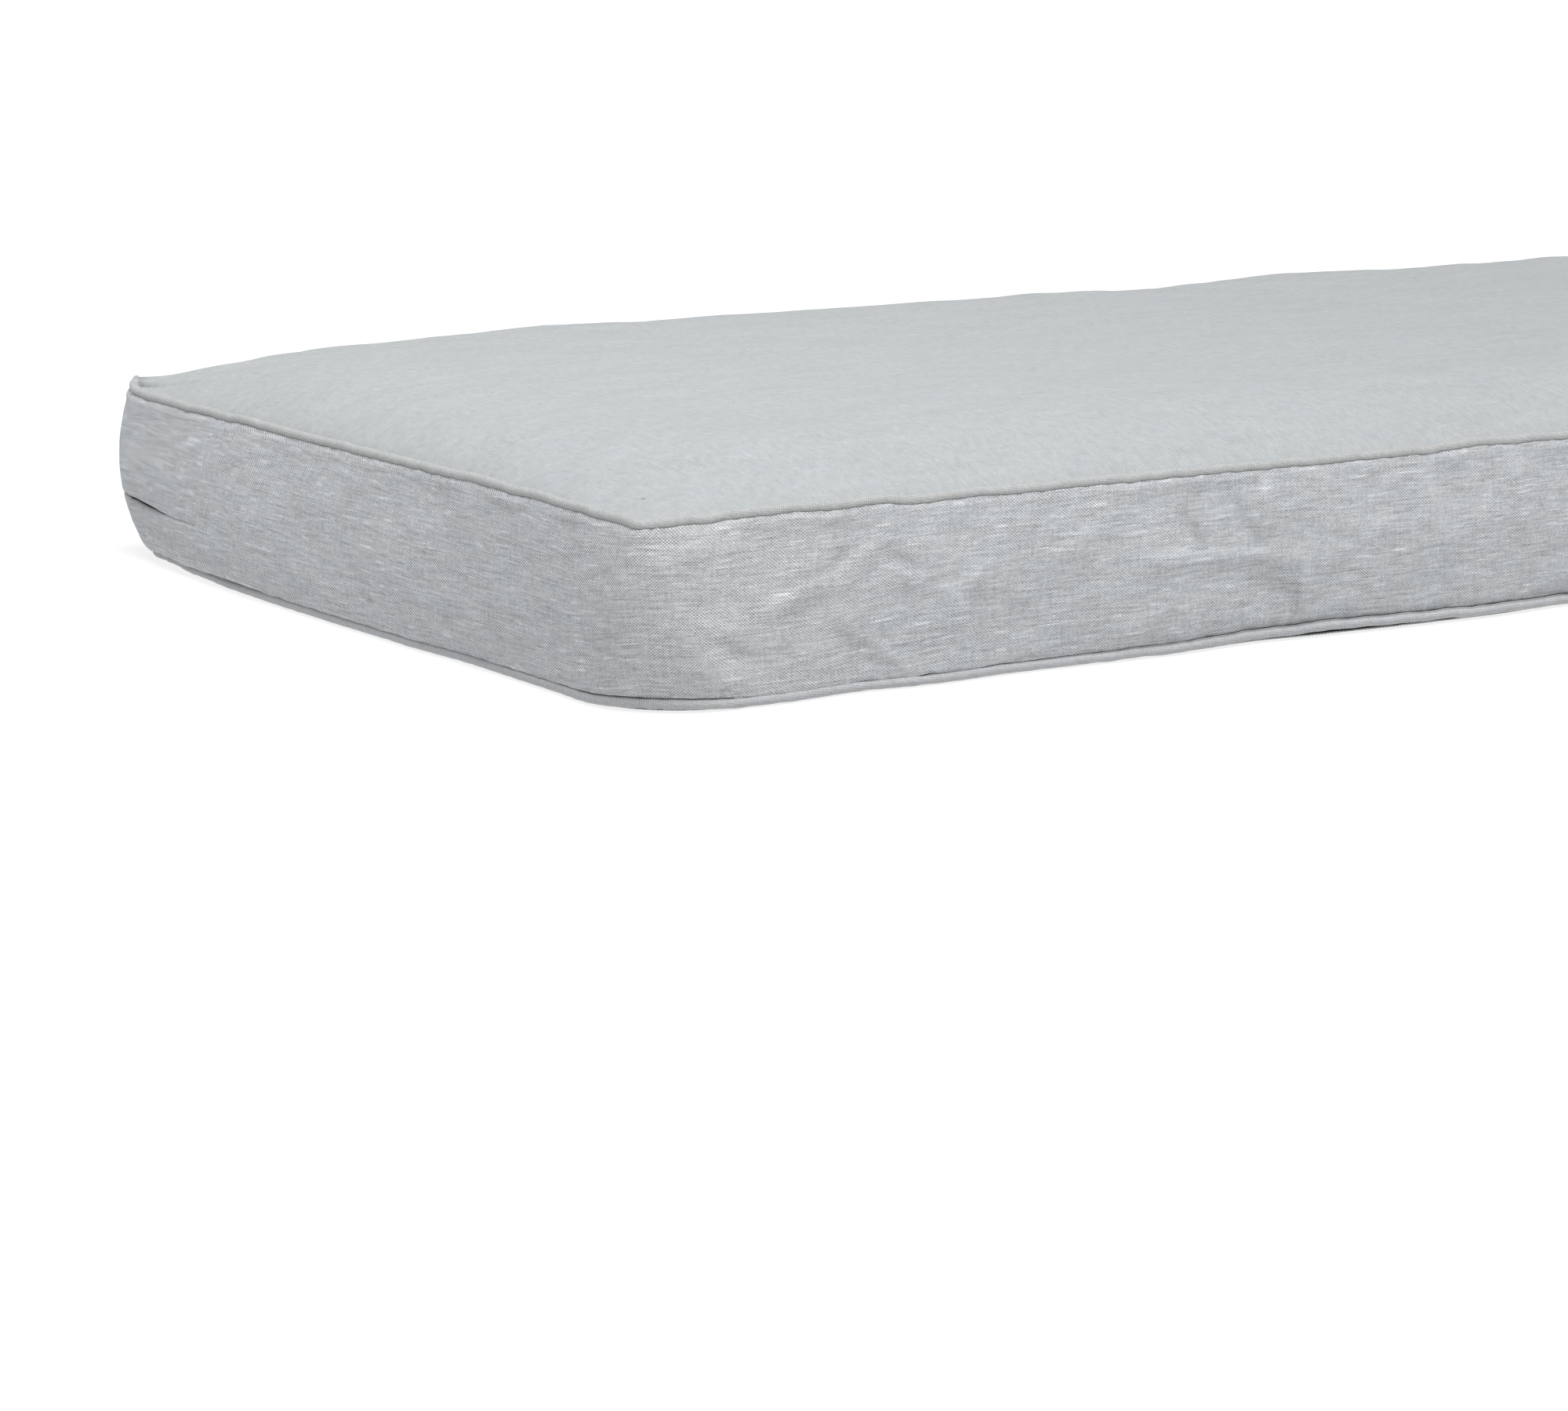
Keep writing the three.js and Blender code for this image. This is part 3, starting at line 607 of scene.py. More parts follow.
class Skin:
    """Builds one closed mesh out of rows of points, each with a cloth coordinate in metres."""

    def __init__(self, name):
        self.name = name
        self.points = []
        self.quads = []
        self.quad_cloth = []
        self.triangles = []
        self.triangle_cloth = []
        self.count = 0

    def rows(self, grid):
        grid = np.asarray(grid, float)
        first = self.count
        self.points.append(grid.reshape(-1, 3))
        self.count += grid.shape[0] * grid.shape[1]
        return first + np.arange(grid.shape[0] * grid.shape[1]).reshape(grid.shape[:2])

    def surface(self, index, cloth, closed, inward=False):
        """Joins rows, facing out or, for the inner face of a sheet, in. cloth has a point for each
        column, and one more where the rows close into a ring."""
        right = np.roll(index, -1, axis=1) if closed else index[:, 1:]
        left = index if closed else index[:, :-1]
        corners = [left[:-1], right[:-1], right[1:], left[1:]]
        places = [cloth[:-1, :-1], cloth[:-1, 1:], cloth[1:, 1:], cloth[1:, :-1]]
        order = (3, 2, 1, 0) if inward else (0, 1, 2, 3)
        self.quads.append(np.stack([corners[k] for k in order], -1).reshape(-1, 4))
        self.quad_cloth.append(np.stack([places[k] for k in order], -2).reshape(-1, 4, 2))

    def lid(self, ring, points, height, facing_up):
        """Fills a ring to one point in its middle. Its cloth coordinates are its plan."""
        hub = np.full(ring.shape, self.rows([[(0, 0, height)]])[0, 0])
        plan = points[:, :2]
        order = (0, 1, 2) if facing_up else (0, 2, 1)
        trio = (hub, ring, np.roll(ring, -1))
        cloth = (np.zeros(plan.shape), plan, np.roll(plan, -1, axis=0))
        self.triangles.append(np.stack([trio[k] for k in order], -1))
        self.triangle_cloth.append(np.stack([cloth[k] for k in order], -2))

    def make(self, sharp_degrees=50):
        points = np.concatenate(self.points) * MM
        quads = np.concatenate(self.quads)
        cloth = [np.concatenate(self.quad_cloth).reshape(-1, 2)]
        faces = quads.tolist()
        if self.triangles:
            faces += np.concatenate(self.triangles).tolist()
            cloth.append(np.concatenate(self.triangle_cloth).reshape(-1, 2))
        mesh = bpy.data.meshes.new(self.name)
        mesh.from_pydata(points.tolist(), [], faces)
        layer = mesh.uv_layers.new(name="cloth")
        layer.data.foreach_set("uv", (np.concatenate(cloth) * MM).astype(np.float32).ravel())
        mesh.shade_smooth()
        mesh.set_sharp_from_angle(angle=math.radians(sharp_degrees))
        mesh.validate()
        piece = bpy.data.objects.new(self.name, mesh)
        bpy.context.scene.collection.objects.link(piece)
        return piece


def walked(points):
    """The distance along a ring of points, with its whole length at the end."""
    steps = np.linalg.norm(np.roll(points, -1, axis=0) - points, axis=1)
    return np.concatenate([[0.0], np.cumsum(steps)])


def strip_skin(name, outer, inner, cloth):
    """A closed sheet between rows of its outer face and rows of its inner one, which may be fewer."""
    skin = Skin(name)
    outside, inside = skin.rows(outer), skin.rows(inner)
    skin.surface(outside, cloth, False)
    skin.surface(inside, cloth[np.linspace(0, len(cloth) - 1, len(inner)).astype(int)], False, True)
    skin.surface(np.stack([inside[0], outside[0]]), cloth[[0, 0]], False)
    skin.surface(np.stack([outside[-1], inside[-1]]), cloth[[-1, -1]], False)
    for end, first, second in ((-1, inside, outside), (0, outside, inside)):
        close_end(skin, first[:, end], second[:, end], cloth[0, end])
    return skin


def close_end(skin, first, second, cloth):
    """Closes the cut end of a sheet, whose two faces may have different numbers of rows."""
    faces = []
    i, j = 0, 0
    last_i, last_j = len(first) - 1, len(second) - 1
    while i < last_i or j < last_j:
        if j >= last_j or (i < last_i and (i + 1) / last_i <= (j + 1) / last_j):
            faces.append((first[i], second[j], first[i + 1]))
            i += 1
        else:
            faces.append((first[i], second[j], second[j + 1]))
            j += 1
    skin.triangles.append(np.array(faces))
    skin.triangle_cloth.append(np.broadcast_to(cloth, (len(faces), 3, 2)))


def graded(first_step, widest_step, reach):
    """Distances from 0 to reach, whose steps grow from the first to the widest."""
    places = [0.0]
    pace = first_step
    while places[-1] + pace < reach:
        places.append(places[-1] + pace)
        pace = min(widest_step, pace * STEP_GROWTH)
    return places


def shares_of(high, first_step, widest_step):
    """Shares of a strip's height, from 0 to 1, close together beside its edges."""
    half = graded(first_step, widest_step, high / 2)
    return np.array([*(p / high for p in half), *(1 - p / high for p in half[::-1])])


def wall_band(name, columns, shares, place):
    """A band of the wall. place turns a share of its height into the level and the set-back there."""
    walk = np.mod(columns.along - columns.along[0], PERIMETER)
    ends = END_ROLL * np.exp(-np.minimum(walk, walk[-1] - walk) / END_ROLL_RUN)

    def rows(shares, depth):
        made = []
        for share in shares:
            level, back = place(columns, share)
            made.append(wall_point(columns, level, depth + back + ends))
        return np.array(made)

    outer = rows(shares, 0.0)
    inner = rows([*shares[:-1:INNER_EVERY], shares[-1]], CLOTH)
    cloth = []
    for share, row in zip(shares, outer):
        along = cloth_place(columns, corner_radius(columns, place(columns, share)[0]))
        cloth.append(np.stack([along, row[:, 2] - np.interp(along, *THREAD_DRIFT)], -1))
    return strip_skin(name, outer, inner, np.array(cloth)).make()


def whole_wall(columns, share):
    """The level and the set-back of a share of the wall. upper_lip and lower_lip give the same pair."""
    return np.full(columns.count, share), 0.0


def wall_high(columns):
    return top_seam(columns) - bottom_seam(columns)


def upper_lip(columns, share):
    start = slit_level(columns) + slit_gap(columns) / 2 / wall_high(columns)
    level = start + (1 - start) * share
    fold = LIP_FOLD * np.exp(-(level - start) * wall_high(columns) / LIP_FOLD_RUN)
    return level, fold


def lower_lip(columns, share):
    high = wall_high(columns)
    end = slit_level(columns) - slit_gap(columns) / 2 / high
    level = end * share
    opened = smooth((slit_gap(columns) - SLIT_SHUT) / SLIT_OPEN)
    back = LIP_SET_BACK * opened * np.exp(-(end - level) * high / LIP_RUN)
    fold = LIP_FOLD * np.exp(-(end - level) * high / LIP_FOLD_RUN)
    return level, back + fold


def upper_panel():
    insets = [*graded(*PANEL_EDGE_ROWS), *np.linspace(*PANEL_MIDDLE_ROWS)]
    outer = [
        panel_rim(RING, PANEL_HEM_OUT, PANEL_HEM_RISE),
        panel_rim(RING, PANEL_LIP_OUT, PANEL_LIP_RISE),
        *(panel_point(RING, inset, 0.0) for inset in insets),
    ]
    inner = [panel_rim(RING, PANEL_HEM_OUT, PANEL_HEM_RISE, CLOTH)]
    inner += [panel_point(RING, inset, CLOTH) for inset in PANEL_INNER_ROWS]
    outer, inner = np.array(outer), np.array(inner)
    skin = Skin("cover_top")
    outside, inside = skin.rows(outer), skin.rows(inner)
    skin.surface(outside, ring_cloth(outer), True)
    skin.surface(inside, ring_cloth(inner), True, True)
    skin.surface(np.stack([inside[0], outside[0]]), ring_cloth(outer[[0, 0]]), True)
    skin.lid(outside[-1], outer[-1], CROWN_HEIGHT, True)
    skin.lid(inside[-1], inner[-1], CROWN_HEIGHT - CLOTH, False)
    return skin.make()


def panel_rim(columns, out, rise, depth=0.0):
    """The panel's rim: the hem turned down beside the piping, and the lip that bears on its shoulder."""
    inside = PANEL_EDGE_IN - out + depth
    radius = CORNER_TIGHT[columns.corner] - inside
    return space_point(columns, ear_out(columns) - inside, radius, top_seam(columns) + rise)


def ring_cloth(grid):
    """Cloth coordinates of a panel, which are its plan, with the first column again at the end."""
    plan = grid[..., :2]
    return np.concatenate([plan, plan[:, :1]], axis=1)


def foot_off(columns):
    return station(columns.along, "foot") - station(columns.along, "tuck")


def foot_radius(columns):
    return CORNER_OPEN[columns.corner] - station(columns.along, "tuck")


def foot_point(columns, inside, height):
    radius = np.maximum(foot_radius(columns) - inside, LEAST_RADIUS)
    return space_point(columns, foot_off(columns) - inside, radius, height)


def lower_panel():
    low = np.array([foot_point(RING, PANEL_EDGE_IN + inset, 0.0) for inset in UNDERSIDE_ROWS])
    high = low + (0, 0, CLOTH)
    skin = Skin("cover_underside")
    below, above = skin.rows(low), skin.rows(high)
    skin.surface(below, ring_cloth(low), True, True)
    skin.surface(above, ring_cloth(high), True)
    skin.surface(np.stack([below[0], above[0]]), ring_cloth(low[[0, 0]]), True)
    skin.lid(below[-1], low[-1], 0.0, False)
    skin.lid(above[-1], high[-1], CLOTH, True)
    return skin.make()


def piping(name, off, radius, height, seam_turn, seed):
    """A closed loop of piping with the lumps of its cord. Its cloth is measured round from its seam."""
    place = cloth_place(RING, radius)
    swell = 1 + LUMP * ring_waves(place, LUMP_LENGTH, seed)
    lumps = PIPING_RADIUS * (swell + LONG_LUMP * ring_waves(place, LONG_LUMP_LENGTH, seed + 1))
    rows = []
    for k in range(PIPING_SIDES):
        turn = 2 * math.pi * k / PIPING_SIDES
        outward = lumps * math.cos(turn)
        rows.append(space_point(RING, off + outward, radius + outward, height + lumps * math.sin(turn)))
    rows.append(rows[0])
    grid = np.array(rows)
    skin = Skin(name)
    index = skin.rows(grid[:-1])
    index = np.concatenate([index, index[:1]])
    turns = np.arange(PIPING_SIDES + 1) * 2 * math.pi / PIPING_SIDES
    girth = (turns - math.radians(seam_turn)) * PIPING_RADIUS
    cloth = np.stack(np.broadcast_arrays(walked(grid[0])[None, :], girth[:, None]), -1)
    skin.surface(index, cloth, True)
    return skin.make(sharp_degrees=180)


def mattress():
    """The mattress, crowned like the cover, with its edges drawn in behind the piping."""
    floor = CLOTH + FLOOR_SLACK
    foot_in = PANEL_EDGE_IN + PIPING_SLACK
    over_piping = np.maximum(bottom_seam(RING), 2 * (PIPING_RADIUS + SEWN_GAP))
    rows = [foot_point(RING, foot_in, floor), foot_point(RING, foot_in, over_piping)]
    for level in MATTRESS_LEVELS:
        rows.append(wall_point(RING, np.full(RING.count, level), CLOTH + WALL_SLACK, False))
    rows.append(wall_point(RING, np.full(RING.count, MATTRESS_RIM_LEVEL), CLOTH + RIM_SLACK, False))
    for inset in MATTRESS_ROWS:
        slack = PANEL_SLACK + min(1.0, inset / CROWN_SLACK_RUN) * CROWN_SLACK
        rows.append(panel_point(RING, inset, CLOTH + slack, False))
    grid = np.array(rows)
    skin = Skin("mattress_core")
    index = skin.rows(grid)
    along = walked(grid[MATTRESS_GIRTH_ROW])
    risen = np.concatenate([[0.0], np.cumsum(np.linalg.norm(np.diff(grid, axis=0), axis=2).mean(1))])
    skin.surface(index, np.stack(np.broadcast_arrays(along[None, :], risen[:, None]), -1), True)
    skin.lid(index[0], grid[0], floor, False)
    skin.lid(index[-1], grid[-1], CROWN_HEIGHT - CLOTH - PANEL_SLACK - CROWN_SLACK, True)
    return skin.make()


class Graph:
    """Short ways to make and join a material's nodes."""

    # Places of a mix node's colour sockets.
    FIRST, SECOND, MIXED = 6, 7, 2

    def __init__(self, name):
        self.material = bpy.data.materials.new(name)
        self.material.use_nodes = True
        self.tree = self.material.node_tree
        self.shader = self.tree.nodes["Principled BSDF"]

    def add(self, kind, **settings):
        node = self.tree.nodes.new(kind)
        for name, value in settings.items():
            setattr(node, name, value)
        return node

    def put(self, socket, value):
        if isinstance(value, bpy.types.NodeSocket):
            self.tree.links.new(value, socket)
        elif value is not None:
            socket.default_value = value

    def fill(self, node, values):
        for name, value in values.items():
            self.put(node.inputs[name], value)

    def math(self, operation, first, second=None, third=None):
        node = self.add("ShaderNodeMath", operation=operation)
        for socket, value in zip(node.inputs, (first, second, third)):
            self.put(socket, value)
        return node.outputs[0]

    def join(self, x, y, z=0.0):
        node = self.add("ShaderNodeCombineXYZ")
        for socket, value in zip(node.inputs, (x, y, z)):
            self.put(socket, value)
        return node.outputs[0]

    def split(self, vector):
        node = self.add("ShaderNodeSeparateXYZ")
        self.put(node.inputs[0], vector)
        return node.outputs[0], node.outputs[1]

    def noise(self, vector, detail=0.0, rough=0.5):
        node = self.add("ShaderNodeTexNoise", noise_dimensions="3D")
        self.fill(node, {"Vector": vector, "Scale": 1.0, "Detail": detail, "Roughness": rough})
        return node.outputs["Fac"]

    def dots(self, u, v, cell, seed, edge, core):
        """Round spots, one in each cell of the given size: 1 inside the core, 0 outside the edge."""
        node = self.add("ShaderNodeTexVoronoi", feature="F1")
        place = self.join(self.math("DIVIDE", u, cell[0]), self.math("DIVIDE", v, cell[1]), seed)
        self.fill(node, {"Vector": place, "Scale": 1.0})
        return self.ramp(node.outputs["Distance"], edge, core)

    def ramp(self, value, start, end, low=0.0, high=1.0):
        node = self.add("ShaderNodeMapRange", interpolation_type="SMOOTHSTEP")
        for socket, given in zip(node.inputs, (value, start, end, low, high)):
            self.put(socket, given)
        return node.outputs[0]

    def mix(self, factor, first, second):
        node = self.add("ShaderNodeMix", data_type="RGBA")
        self.put(node.inputs["Factor"], factor)
        self.put(node.inputs[self.FIRST], first)
        self.put(node.inputs[self.SECOND], second)
        return node.outputs[self.MIXED]


# The linen's threads: how far apart they are, how far they sway, and how much each trait of the cloth
# lightens it.
# The crowns and backs are the weave's own pattern, drawn as painted light on the crowns and painted
# shade on the backs between them; the knots and the light along weft and warp belong to single threads,
# and the streaks and clouds lie across many.
WARP_PITCH = 1.25
WEFT_PITCH = 0.91
WARP_SWAY = 3.0
WEFT_SWAY = 2.4
CROWN_LIGHT = 0.42
BACK_LIGHT = 0.22
BACK_LEVEL = 0.4
KNOT_LIGHT = 0.24
WEFT_LIGHT = 0.95
WARP_LIGHT = 0.34
UPRIGHT_STREAKS = 0.12
LEVEL_STREAKS = 0.3
CLOUDS = 0.12
NEP_LIGHT = 0.22
THICK_SLUBS = 1.2
# Slubs are lighter yarn: GLINT is that lightness all over them, and GLINT_ON_CROWN a painted highlight
# where they cross the crowns.
GLINT_ON_CROWN = 0.44
GLINT = 0.15
THREAD_STEP = 17.17
PLAIN_GRAIN = 0.8

COOLER = (0.992, 1.0, 1.012)
WARMER = (1.010, 1.0, 0.988)
WARMTH_FALL = -0.35
WARM_CORNER = 60.0
SPECK_TINT = (0.17, 0.165, 0.155, 1)

# The relief of the threads, and how deep it is in metres.
SLUB_RELIEF = 0.6
WEFT_RELIEF = 0.8
RELIEF_STRENGTH = 0.5
RELIEF_DEPTH = 0.00018
LINEN_SHADER = {
    "Roughness": 0.92,
    "Specular IOR Level": 0.16,
    "Sheen Weight": 0.1,
    "Sheen Roughness": 0.5,
}

# Painted shade along the piping's own seam, where its cloth lies in shade: how far from the seam, in
# metres, and the painted shade's tint.
GROOVE_CORE = 0.0003
GROOVE_REACH = 0.0015
PAINTED_GROOVE_SHADE = (0.060, 0.052, 0.042, 1)


def linen(name, colour, turn=0.0, weave=1.0, fleck=1.0, mottle=0.0, specks=0.0,
          corner_grain=PLAIN_GRAIN, warm_corner=False, groove=0.0):
    """Plain-weave linen on the cloth coordinates: light crowns of weft, slubs, neps and soft mottling.
    weave, fleck, mottle and specks are how strongly each shows, corner_grain is how clear the weave is
    beside the viewer's corner, and groove is how deep the shade along a seam is."""
    g = Graph(name)
    place = g.add("ShaderNodeUVMap", uv_map="cloth").outputs[0]
    spin = g.add("ShaderNodeMapping", vector_type="POINT")
    g.fill(spin, {"Vector": place, "Rotation": (0, 0, turn), "Scale": (1 / MM, 1 / MM, 1)})
    u, v = g.split(spin.outputs[0])

    def field(across, up, seed, detail=0.0, rough=0.5):
        """Noise with grains of the given size, centred on zero."""
        vector = g.join(g.math("DIVIDE", u, across), g.math("DIVIDE", v, up), seed)
        return g.math("SUBTRACT", g.noise(vector, detail, rough), 0.5)

    def yarns(line, place, length, seed, detail=1.0):
        """Noise along every yarn by itself."""
        vector = g.join(g.math("DIVIDE", place, length), g.math("MULTIPLY", line, THREAD_STEP), seed)
        return g.math("SUBTRACT", g.noise(vector, detail), 0.5)

    def plus(light, amount, trait):
        """A value with so much of a trait added."""
        return g.math("MULTIPLY_ADD", trait, amount, light)

    wavy_u = plus(u, WARP_SWAY, field(40, 70, seed=3.0, detail=1.0))
    wavy_v = plus(v, WEFT_SWAY, field(70, 30, seed=7.0, detail=1.0))
    warp = g.math("DIVIDE", wavy_u, WARP_PITCH)
    weft = g.math("DIVIDE", wavy_v, WEFT_PITCH)
    row, column = g.math("FLOOR", weft), g.math("FLOOR", warp)
    pair = g.math("FLOOR", g.math("DIVIDE", weft, 2.0))

    # The weave's checker is the weave's pattern, drawn as painted light on the crowns and painted shade
    # on the backs between them.
    across = g.math("SINE", g.math("MULTIPLY", warp, math.pi))
    along = g.math("SINE", g.math("MULTIPLY", weft, math.pi))
    checker = g.math("MULTIPLY", across, along)
    crown = g.math("MAXIMUM", checker, 0.0)
    yarn_back = g.math("SUBTRACT", g.math("ABSOLUTE", checker), BACK_LEVEL)

    near = g.ramp(u, -120, 140, low=corner_grain, high=PLAIN_GRAIN)
    worn = g.noise(g.join(g.math("DIVIDE", u, 75), g.math("DIVIDE", v, 38), 12.0))
    patch = g.math("MULTIPLY", g.ramp(worn, 0.36, 0.62, low=0.75, high=1.15), near)
    woven = plus(g.math("MULTIPLY", yarn_back, BACK_LIGHT * weave), CROWN_LIGHT * weave, checker)
    knots = g.add("ShaderNodeTexWhiteNoise", noise_dimensions="2D")
    g.put(knots.inputs["Vector"], g.join(column, row))
    uneven = g.math("SUBTRACT", knots.outputs["Value"], 0.5)
    weft_shade = yarns(row, u, length=24, seed=9.0, detail=3.0)
    light = plus(g.math("MULTIPLY", patch, woven), KNOT_LIGHT * weave, uneven)
    light = plus(light, WEFT_LIGHT * fleck, weft_shade)
    light = plus(light, WARP_LIGHT * fleck, yarns(column, v, length=14, seed=2.0, detail=2.0))
    light = plus(light, UPRIGHT_STREAKS * fleck, field(2.4, 24, seed=5.0, detail=3.0, rough=0.6))
    light = plus(light, LEVEL_STREAKS * fleck, field(24, 2.1, seed=4.0, detail=3.0, rough=0.6))
    light = plus(light, CLOUDS, field(60, 24, seed=6.0, detail=2.0))
    if mottle:
        light = plus(light, mottle, field(4.5, 9, seed=18.0, detail=2.0, rough=0.6))
        dashed = g.ramp(field(110, 60, seed=21.0, detail=1.0), 0.04, 0.16, low=0.05, high=0.34)
        light = plus(light, dashed, yarns(column, v, length=9, seed=22.0, detail=2.0))

    slub = g.ramp(yarns(row, u, length=20, seed=1.0), 0.12, 0.26)
    thick = g.ramp(yarns(pair, u, length=26, seed=5.0), 0.13, 0.27)
    swollen = plus(slub, THICK_SLUBS, thick)
    # The slubs' own lighter colour, plus a painted highlight on them at the weave's crowns.
    glint = g.math("MULTIPLY_ADD", crown, GLINT_ON_CROWN, GLINT)
    light = plus(light, fleck, g.math("MULTIPLY", swollen, glint))
    light = plus(light, NEP_LIGHT * fleck, g.dots(u, v, cell=(30, 24), seed=0.5, edge=0.07, core=0.03))
    dark = g.dots(u, v, cell=(55, 42), seed=8.5, edge=0.04, core=0.015)

    warmth = g.ramp(plus(field(34, 14, seed=15.0, detail=2.0), WARMTH_FALL, light), -0.14, 0.14)
    if warm_corner:
        from_corner = g.math("ABSOLUTE", g.math("SUBTRACT", u, WARM_CORNER))
        warmth = g.math("MAXIMUM", warmth, g.ramp(from_corner, 50, 150, low=1.0, high=0.0))
    cool, warm = [(*(c * k for c, k in zip(colour, tint)), 1) for tint in (COOLER, WARMER)]
    tone = g.add("ShaderNodeVectorMath", operation="SCALE")
    g.put(tone.inputs[0], g.mix(warmth, cool, warm))
    g.put(tone.inputs["Scale"], g.math("ADD", light, 1.0))
    shown = g.mix(g.math("MULTIPLY", dark, specks), tone.outputs[0], SPECK_TINT)
    # Painted shade along the piping's own seam, deepest at the seam and gone a little way from it.
    if groove:
        from_seam = g.math("ABSOLUTE", g.split(place)[1])
        depth = g.ramp(from_seam, GROOVE_CORE, GROOVE_REACH, low=groove, high=0.0)
        shown = g.mix(depth, shown, PAINTED_GROOVE_SHADE)

    height = plus(g.math("MULTIPLY", swollen, SLUB_RELIEF * fleck), weave, g.math("ABSOLUTE", checker))
    height = plus(height, WEFT_RELIEF * fleck, weft_shade)
    bump = g.add("ShaderNodeBump")
    g.fill(bump, {"Strength": RELIEF_STRENGTH, "Distance": RELIEF_DEPTH, "Height": height})
    g.fill(g.shader, {"Base Color": shown, "Normal": bump.outputs[0], **LINEN_SHADER})
    return g.material


# The studio: strengths of the sky, of the sun-like key and of the box over the left end, and the pale
# floor, which gives off a little light of its own. Places and sizes are in metres, turns in degrees.
SKY = 0.47
SKY_TINT = (0.97, 1.0, 1.045, 1)
KEY = 3.1
KEY_TOWARD = (-0.05, -0.34, 0.94)
KEY_SPREAD = 36
BOX_PLACE = (-0.84, -0.08, 1.0)
BOX_SIZE = (0.55, 0.5)
BOX_POWER = 2.4
FLOOR_SIZE = 120.0
FLOOR_LEVEL = -0.0005
FLOOR_SHADER = {"Base Color": (0.2, 0.2, 0.2, 1), "Roughness": 0.9, "Specular IOR Level": 0.1,
                "Emission Color": (1.0, 1.0, 1.0, 1), "Emission Strength": 0.8}

# The photograph's viewing angle, through a long lens.
LENS = 117.0
LENS_SENSOR = 36.0
LENS_FAR = 200.0
CAMERA_PLACE = (-2.4243, -2.8654, 0.5852)
CAMERA_TURN = (78.8, 0.0, -32.02)


def make_camera():
    camera = bpy.data.cameras.new("camera")
    camera.sensor_width = LENS_SENSOR
    camera.lens = LENS
    camera.clip_end = LENS_FAR
    place = bpy.data.objects.new("camera", camera)
    place.location = CAMERA_PLACE
    place.rotation_euler = [math.radians(turn) for turn in CAMERA_TURN]
    bpy.context.scene.collection.objects.link(place)
    bpy.context.scene.camera = place


def soft_sun(name, toward, spread, strength):
    """Even light from one way, as from a wide soft box. toward points at the light."""
    light = bpy.data.lights.new(name, "SUN")
    light.angle = math.radians(spread)
    light.energy = strength
    lamp = bpy.data.objects.new(name, light)
    lamp.rotation_euler = Vector(toward).to_track_quat("Z", "Y").to_euler()
    bpy.context.scene.collection.objects.link(lamp)


def soft_box(name, place, size, power):
    """A wide panel of light that hangs over the cover and faces down."""
    light = bpy.data.lights.new(name, "AREA")
    light.shape = "RECTANGLE"
    light.size, light.size_y = size
    light.energy = power
    lamp = bpy.data.objects.new(name, light)
    lamp.location = place
    bpy.context.scene.collection.objects.link(lamp)


def floor_material():
    g = Graph("pale_floor")
    g.fill(g.shader, FLOOR_SHADER)
    return g.material


def make_stage():
    scene = bpy.context.scene
    scene.view_settings.view_transform = "Standard"
    scene.view_settings.look = "None"
    world = bpy.data.worlds.new("studio")
    world.use_nodes = True
    background = world.node_tree.nodes["Background"]
    background.inputs["Color"].default_value = SKY_TINT
    background.inputs["Strength"].default_value = SKY
    scene.world = world
    bpy.ops.mesh.primitive_plane_add(size=FLOOR_SIZE, location=(0, 0, FLOOR_LEVEL))
    floor = bpy.context.object
    floor.name = "floor"
    floor.data.materials.append(floor_material())
    soft_sun("soft_key", KEY_TOWARD, KEY_SPREAD, KEY)
    soft_box("soft_box", BOX_PLACE, BOX_SIZE, BOX_POWER)


# Colours of the cloths, the turn of the piping's bias-cut weave, and the seeds of both pipings' lumps.
# The cloths are one linen. The top's and the upper piping's colours are darker than the wall's, painted
# shade that evens out the stronger light on them. The lower piping's is lighter and bluer, painted light
# for the shade it lies in under the wall.
WALL_LINEN = (0.419, 0.430, 0.440)
TOP_SHADED_LINEN = (0.350, 0.363, 0.364)
UPPER_PIPING_SHADED_LINEN = (0.364, 0.369, 0.366)
LOWER_PIPING_LIT_LINEN = (0.396, 0.402, 0.412)
TICKING = (0.20, 0.19, 0.18)
BIAS = math.radians(45)
UPPER_PIPING_SEED, LOWER_PIPING_SEED = 51, 61


def dress(piece, node, material):
    piece.data.materials.append(material)
    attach(piece, "root")
    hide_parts(node)
    return piece


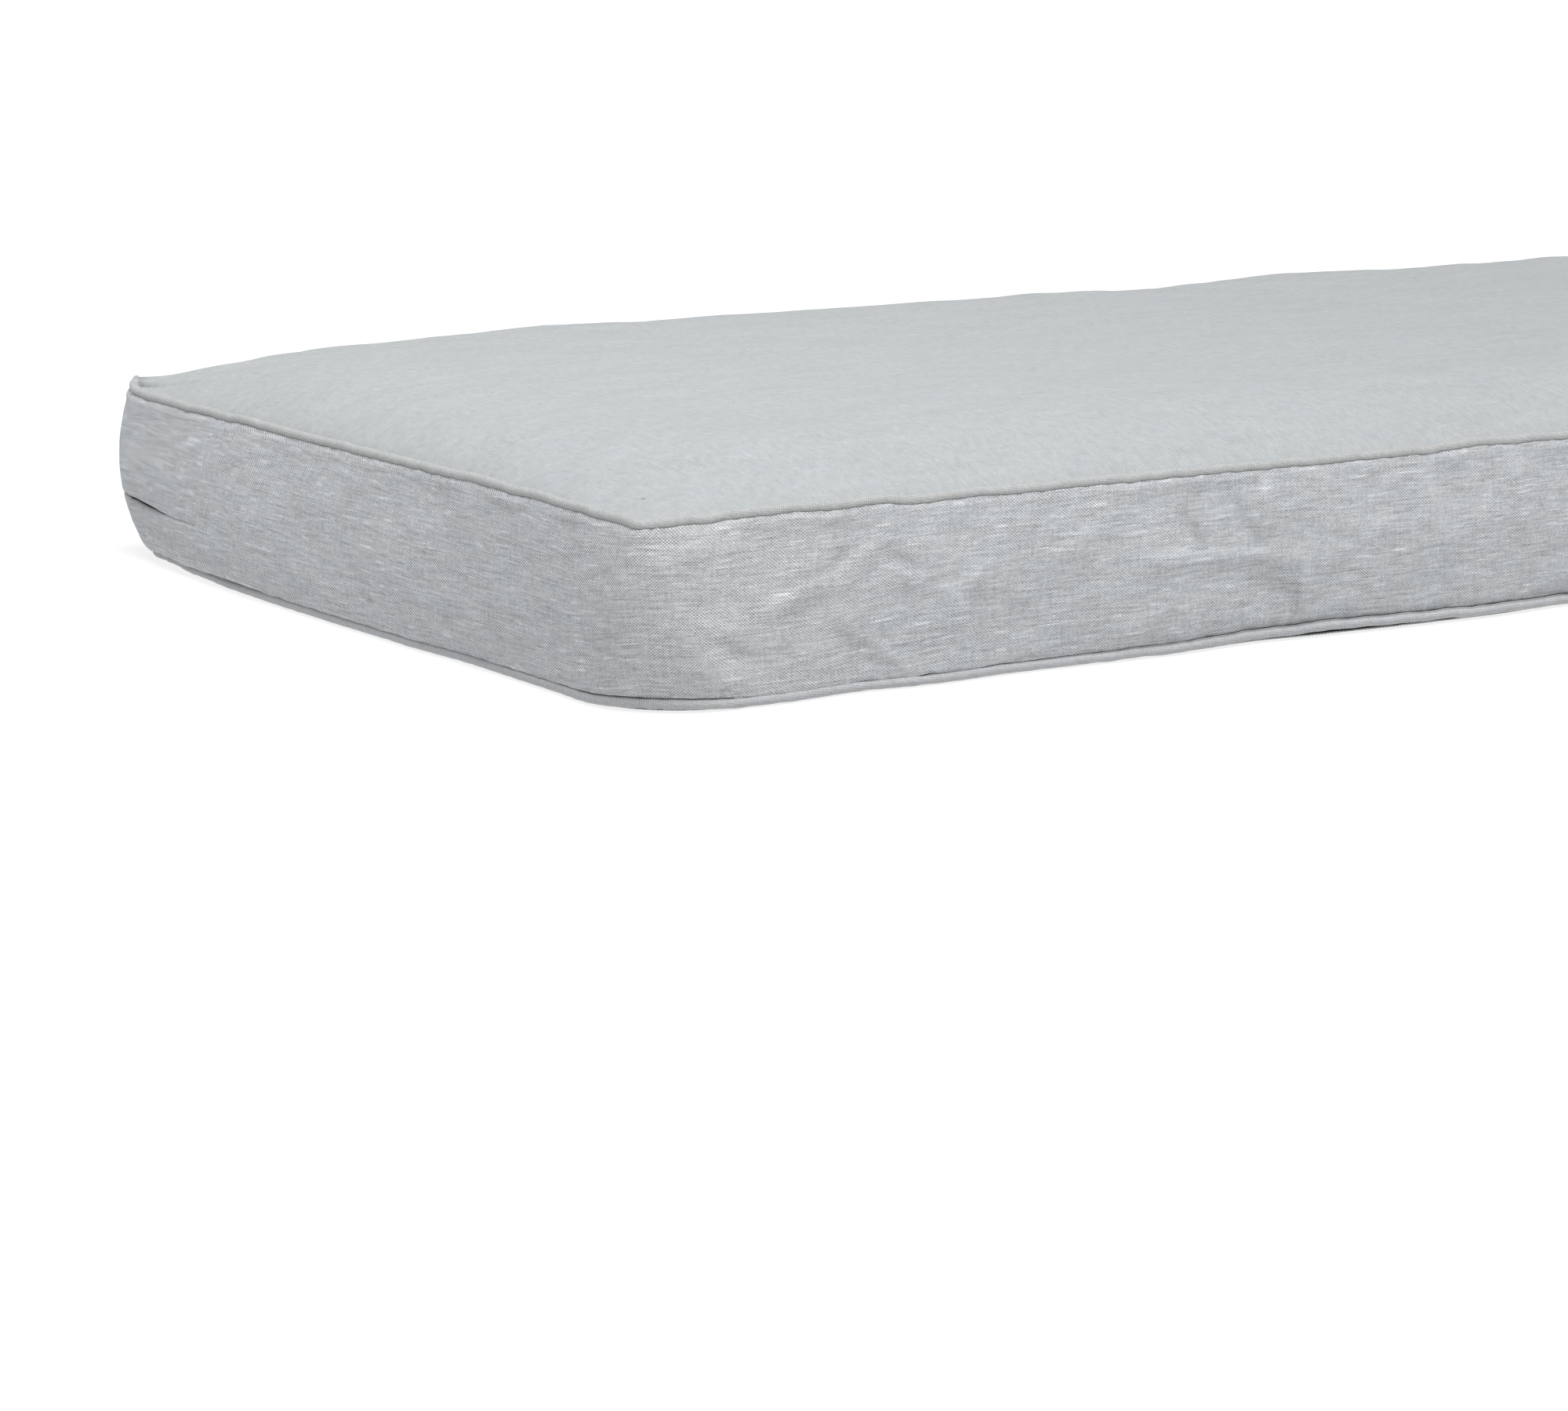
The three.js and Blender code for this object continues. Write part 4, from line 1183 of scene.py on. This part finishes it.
def build_cover():
    wall = linen("linen_wall", WALL_LINEN, corner_grain=1.4, warm_corner=True)
    # The top and the upper piping get darker copies of the linen, painted shade, and the lower piping a
    # lighter copy, painted light.
    top = linen("linen_top", TOP_SHADED_LINEN, weave=0.4, fleck=0.15, mottle=0.3, specks=0.8)
    bias = linen("linen_piping", UPPER_PIPING_SHADED_LINEN, BIAS, weave=0.6, fleck=0.3, groove=0.6)
    lit_low_bias = linen("linen_piping_low_lit", LOWER_PIPING_LIT_LINEN, BIAS, weave=0.6, fleck=0.3, groove=0.45)
    under = linen("linen_under", WALL_LINEN)
    ticking = linen("ticking", TICKING)

    front = RING.between(SEAM_LEFT, SEAM_RIGHT)
    front.unrolled_from = SEAM_LEFT - CORNER_ZONE
    closure = RING.between(SEAM_RIGHT, SEAM_LEFT)
    walls = (
        ("cover_boxing", front, WALL_ROWS, whole_wall, "boxing_front"),
        ("closure_upper_strip", closure, UPPER_STRIP_ROWS, upper_lip, "closure_upper"),
        ("closure_lower_strip", closure, LOWER_STRIP_ROWS, lower_lip, "closure_lower"),
    )

    core = dress(mattress(), "mattress", ticking)
    panel = dress(upper_panel(), "top_panel", top)
    base = dress(lower_panel(), "bottom_panel", under)
    band, upper, lower = [
        dress(wall_band(name, columns, shares_of(*rows), place), node, wall)
        for name, columns, rows, place, node in walls
    ]
    top_cord = dress(
        piping(
            "piping_upper",
            ear_out(RING) - PIPING_IN,
            CORNER_TIGHT[RING.corner] - PIPING_IN,
            top_seam(RING) + PIPING_RISE,
            TOP_SEAM_TURN,
            UPPER_PIPING_SEED,
        ),
        "piping_top", bias)
    low_cord = dress(
        piping(
            "piping_lower",
            foot_off(RING) - FOOT_PIPING_IN,
            foot_radius(RING) - FOOT_PIPING_IN,
            np.maximum(bottom_seam(RING) - PIPING_RADIUS - SEWN_GAP, PIPING_REST),
            FOOT_SEAM_TURN,
            LOWER_PIPING_SEED,
        ),
        "piping_bottom", lit_low_bias)


make_camera()
make_stage()
build_cover()
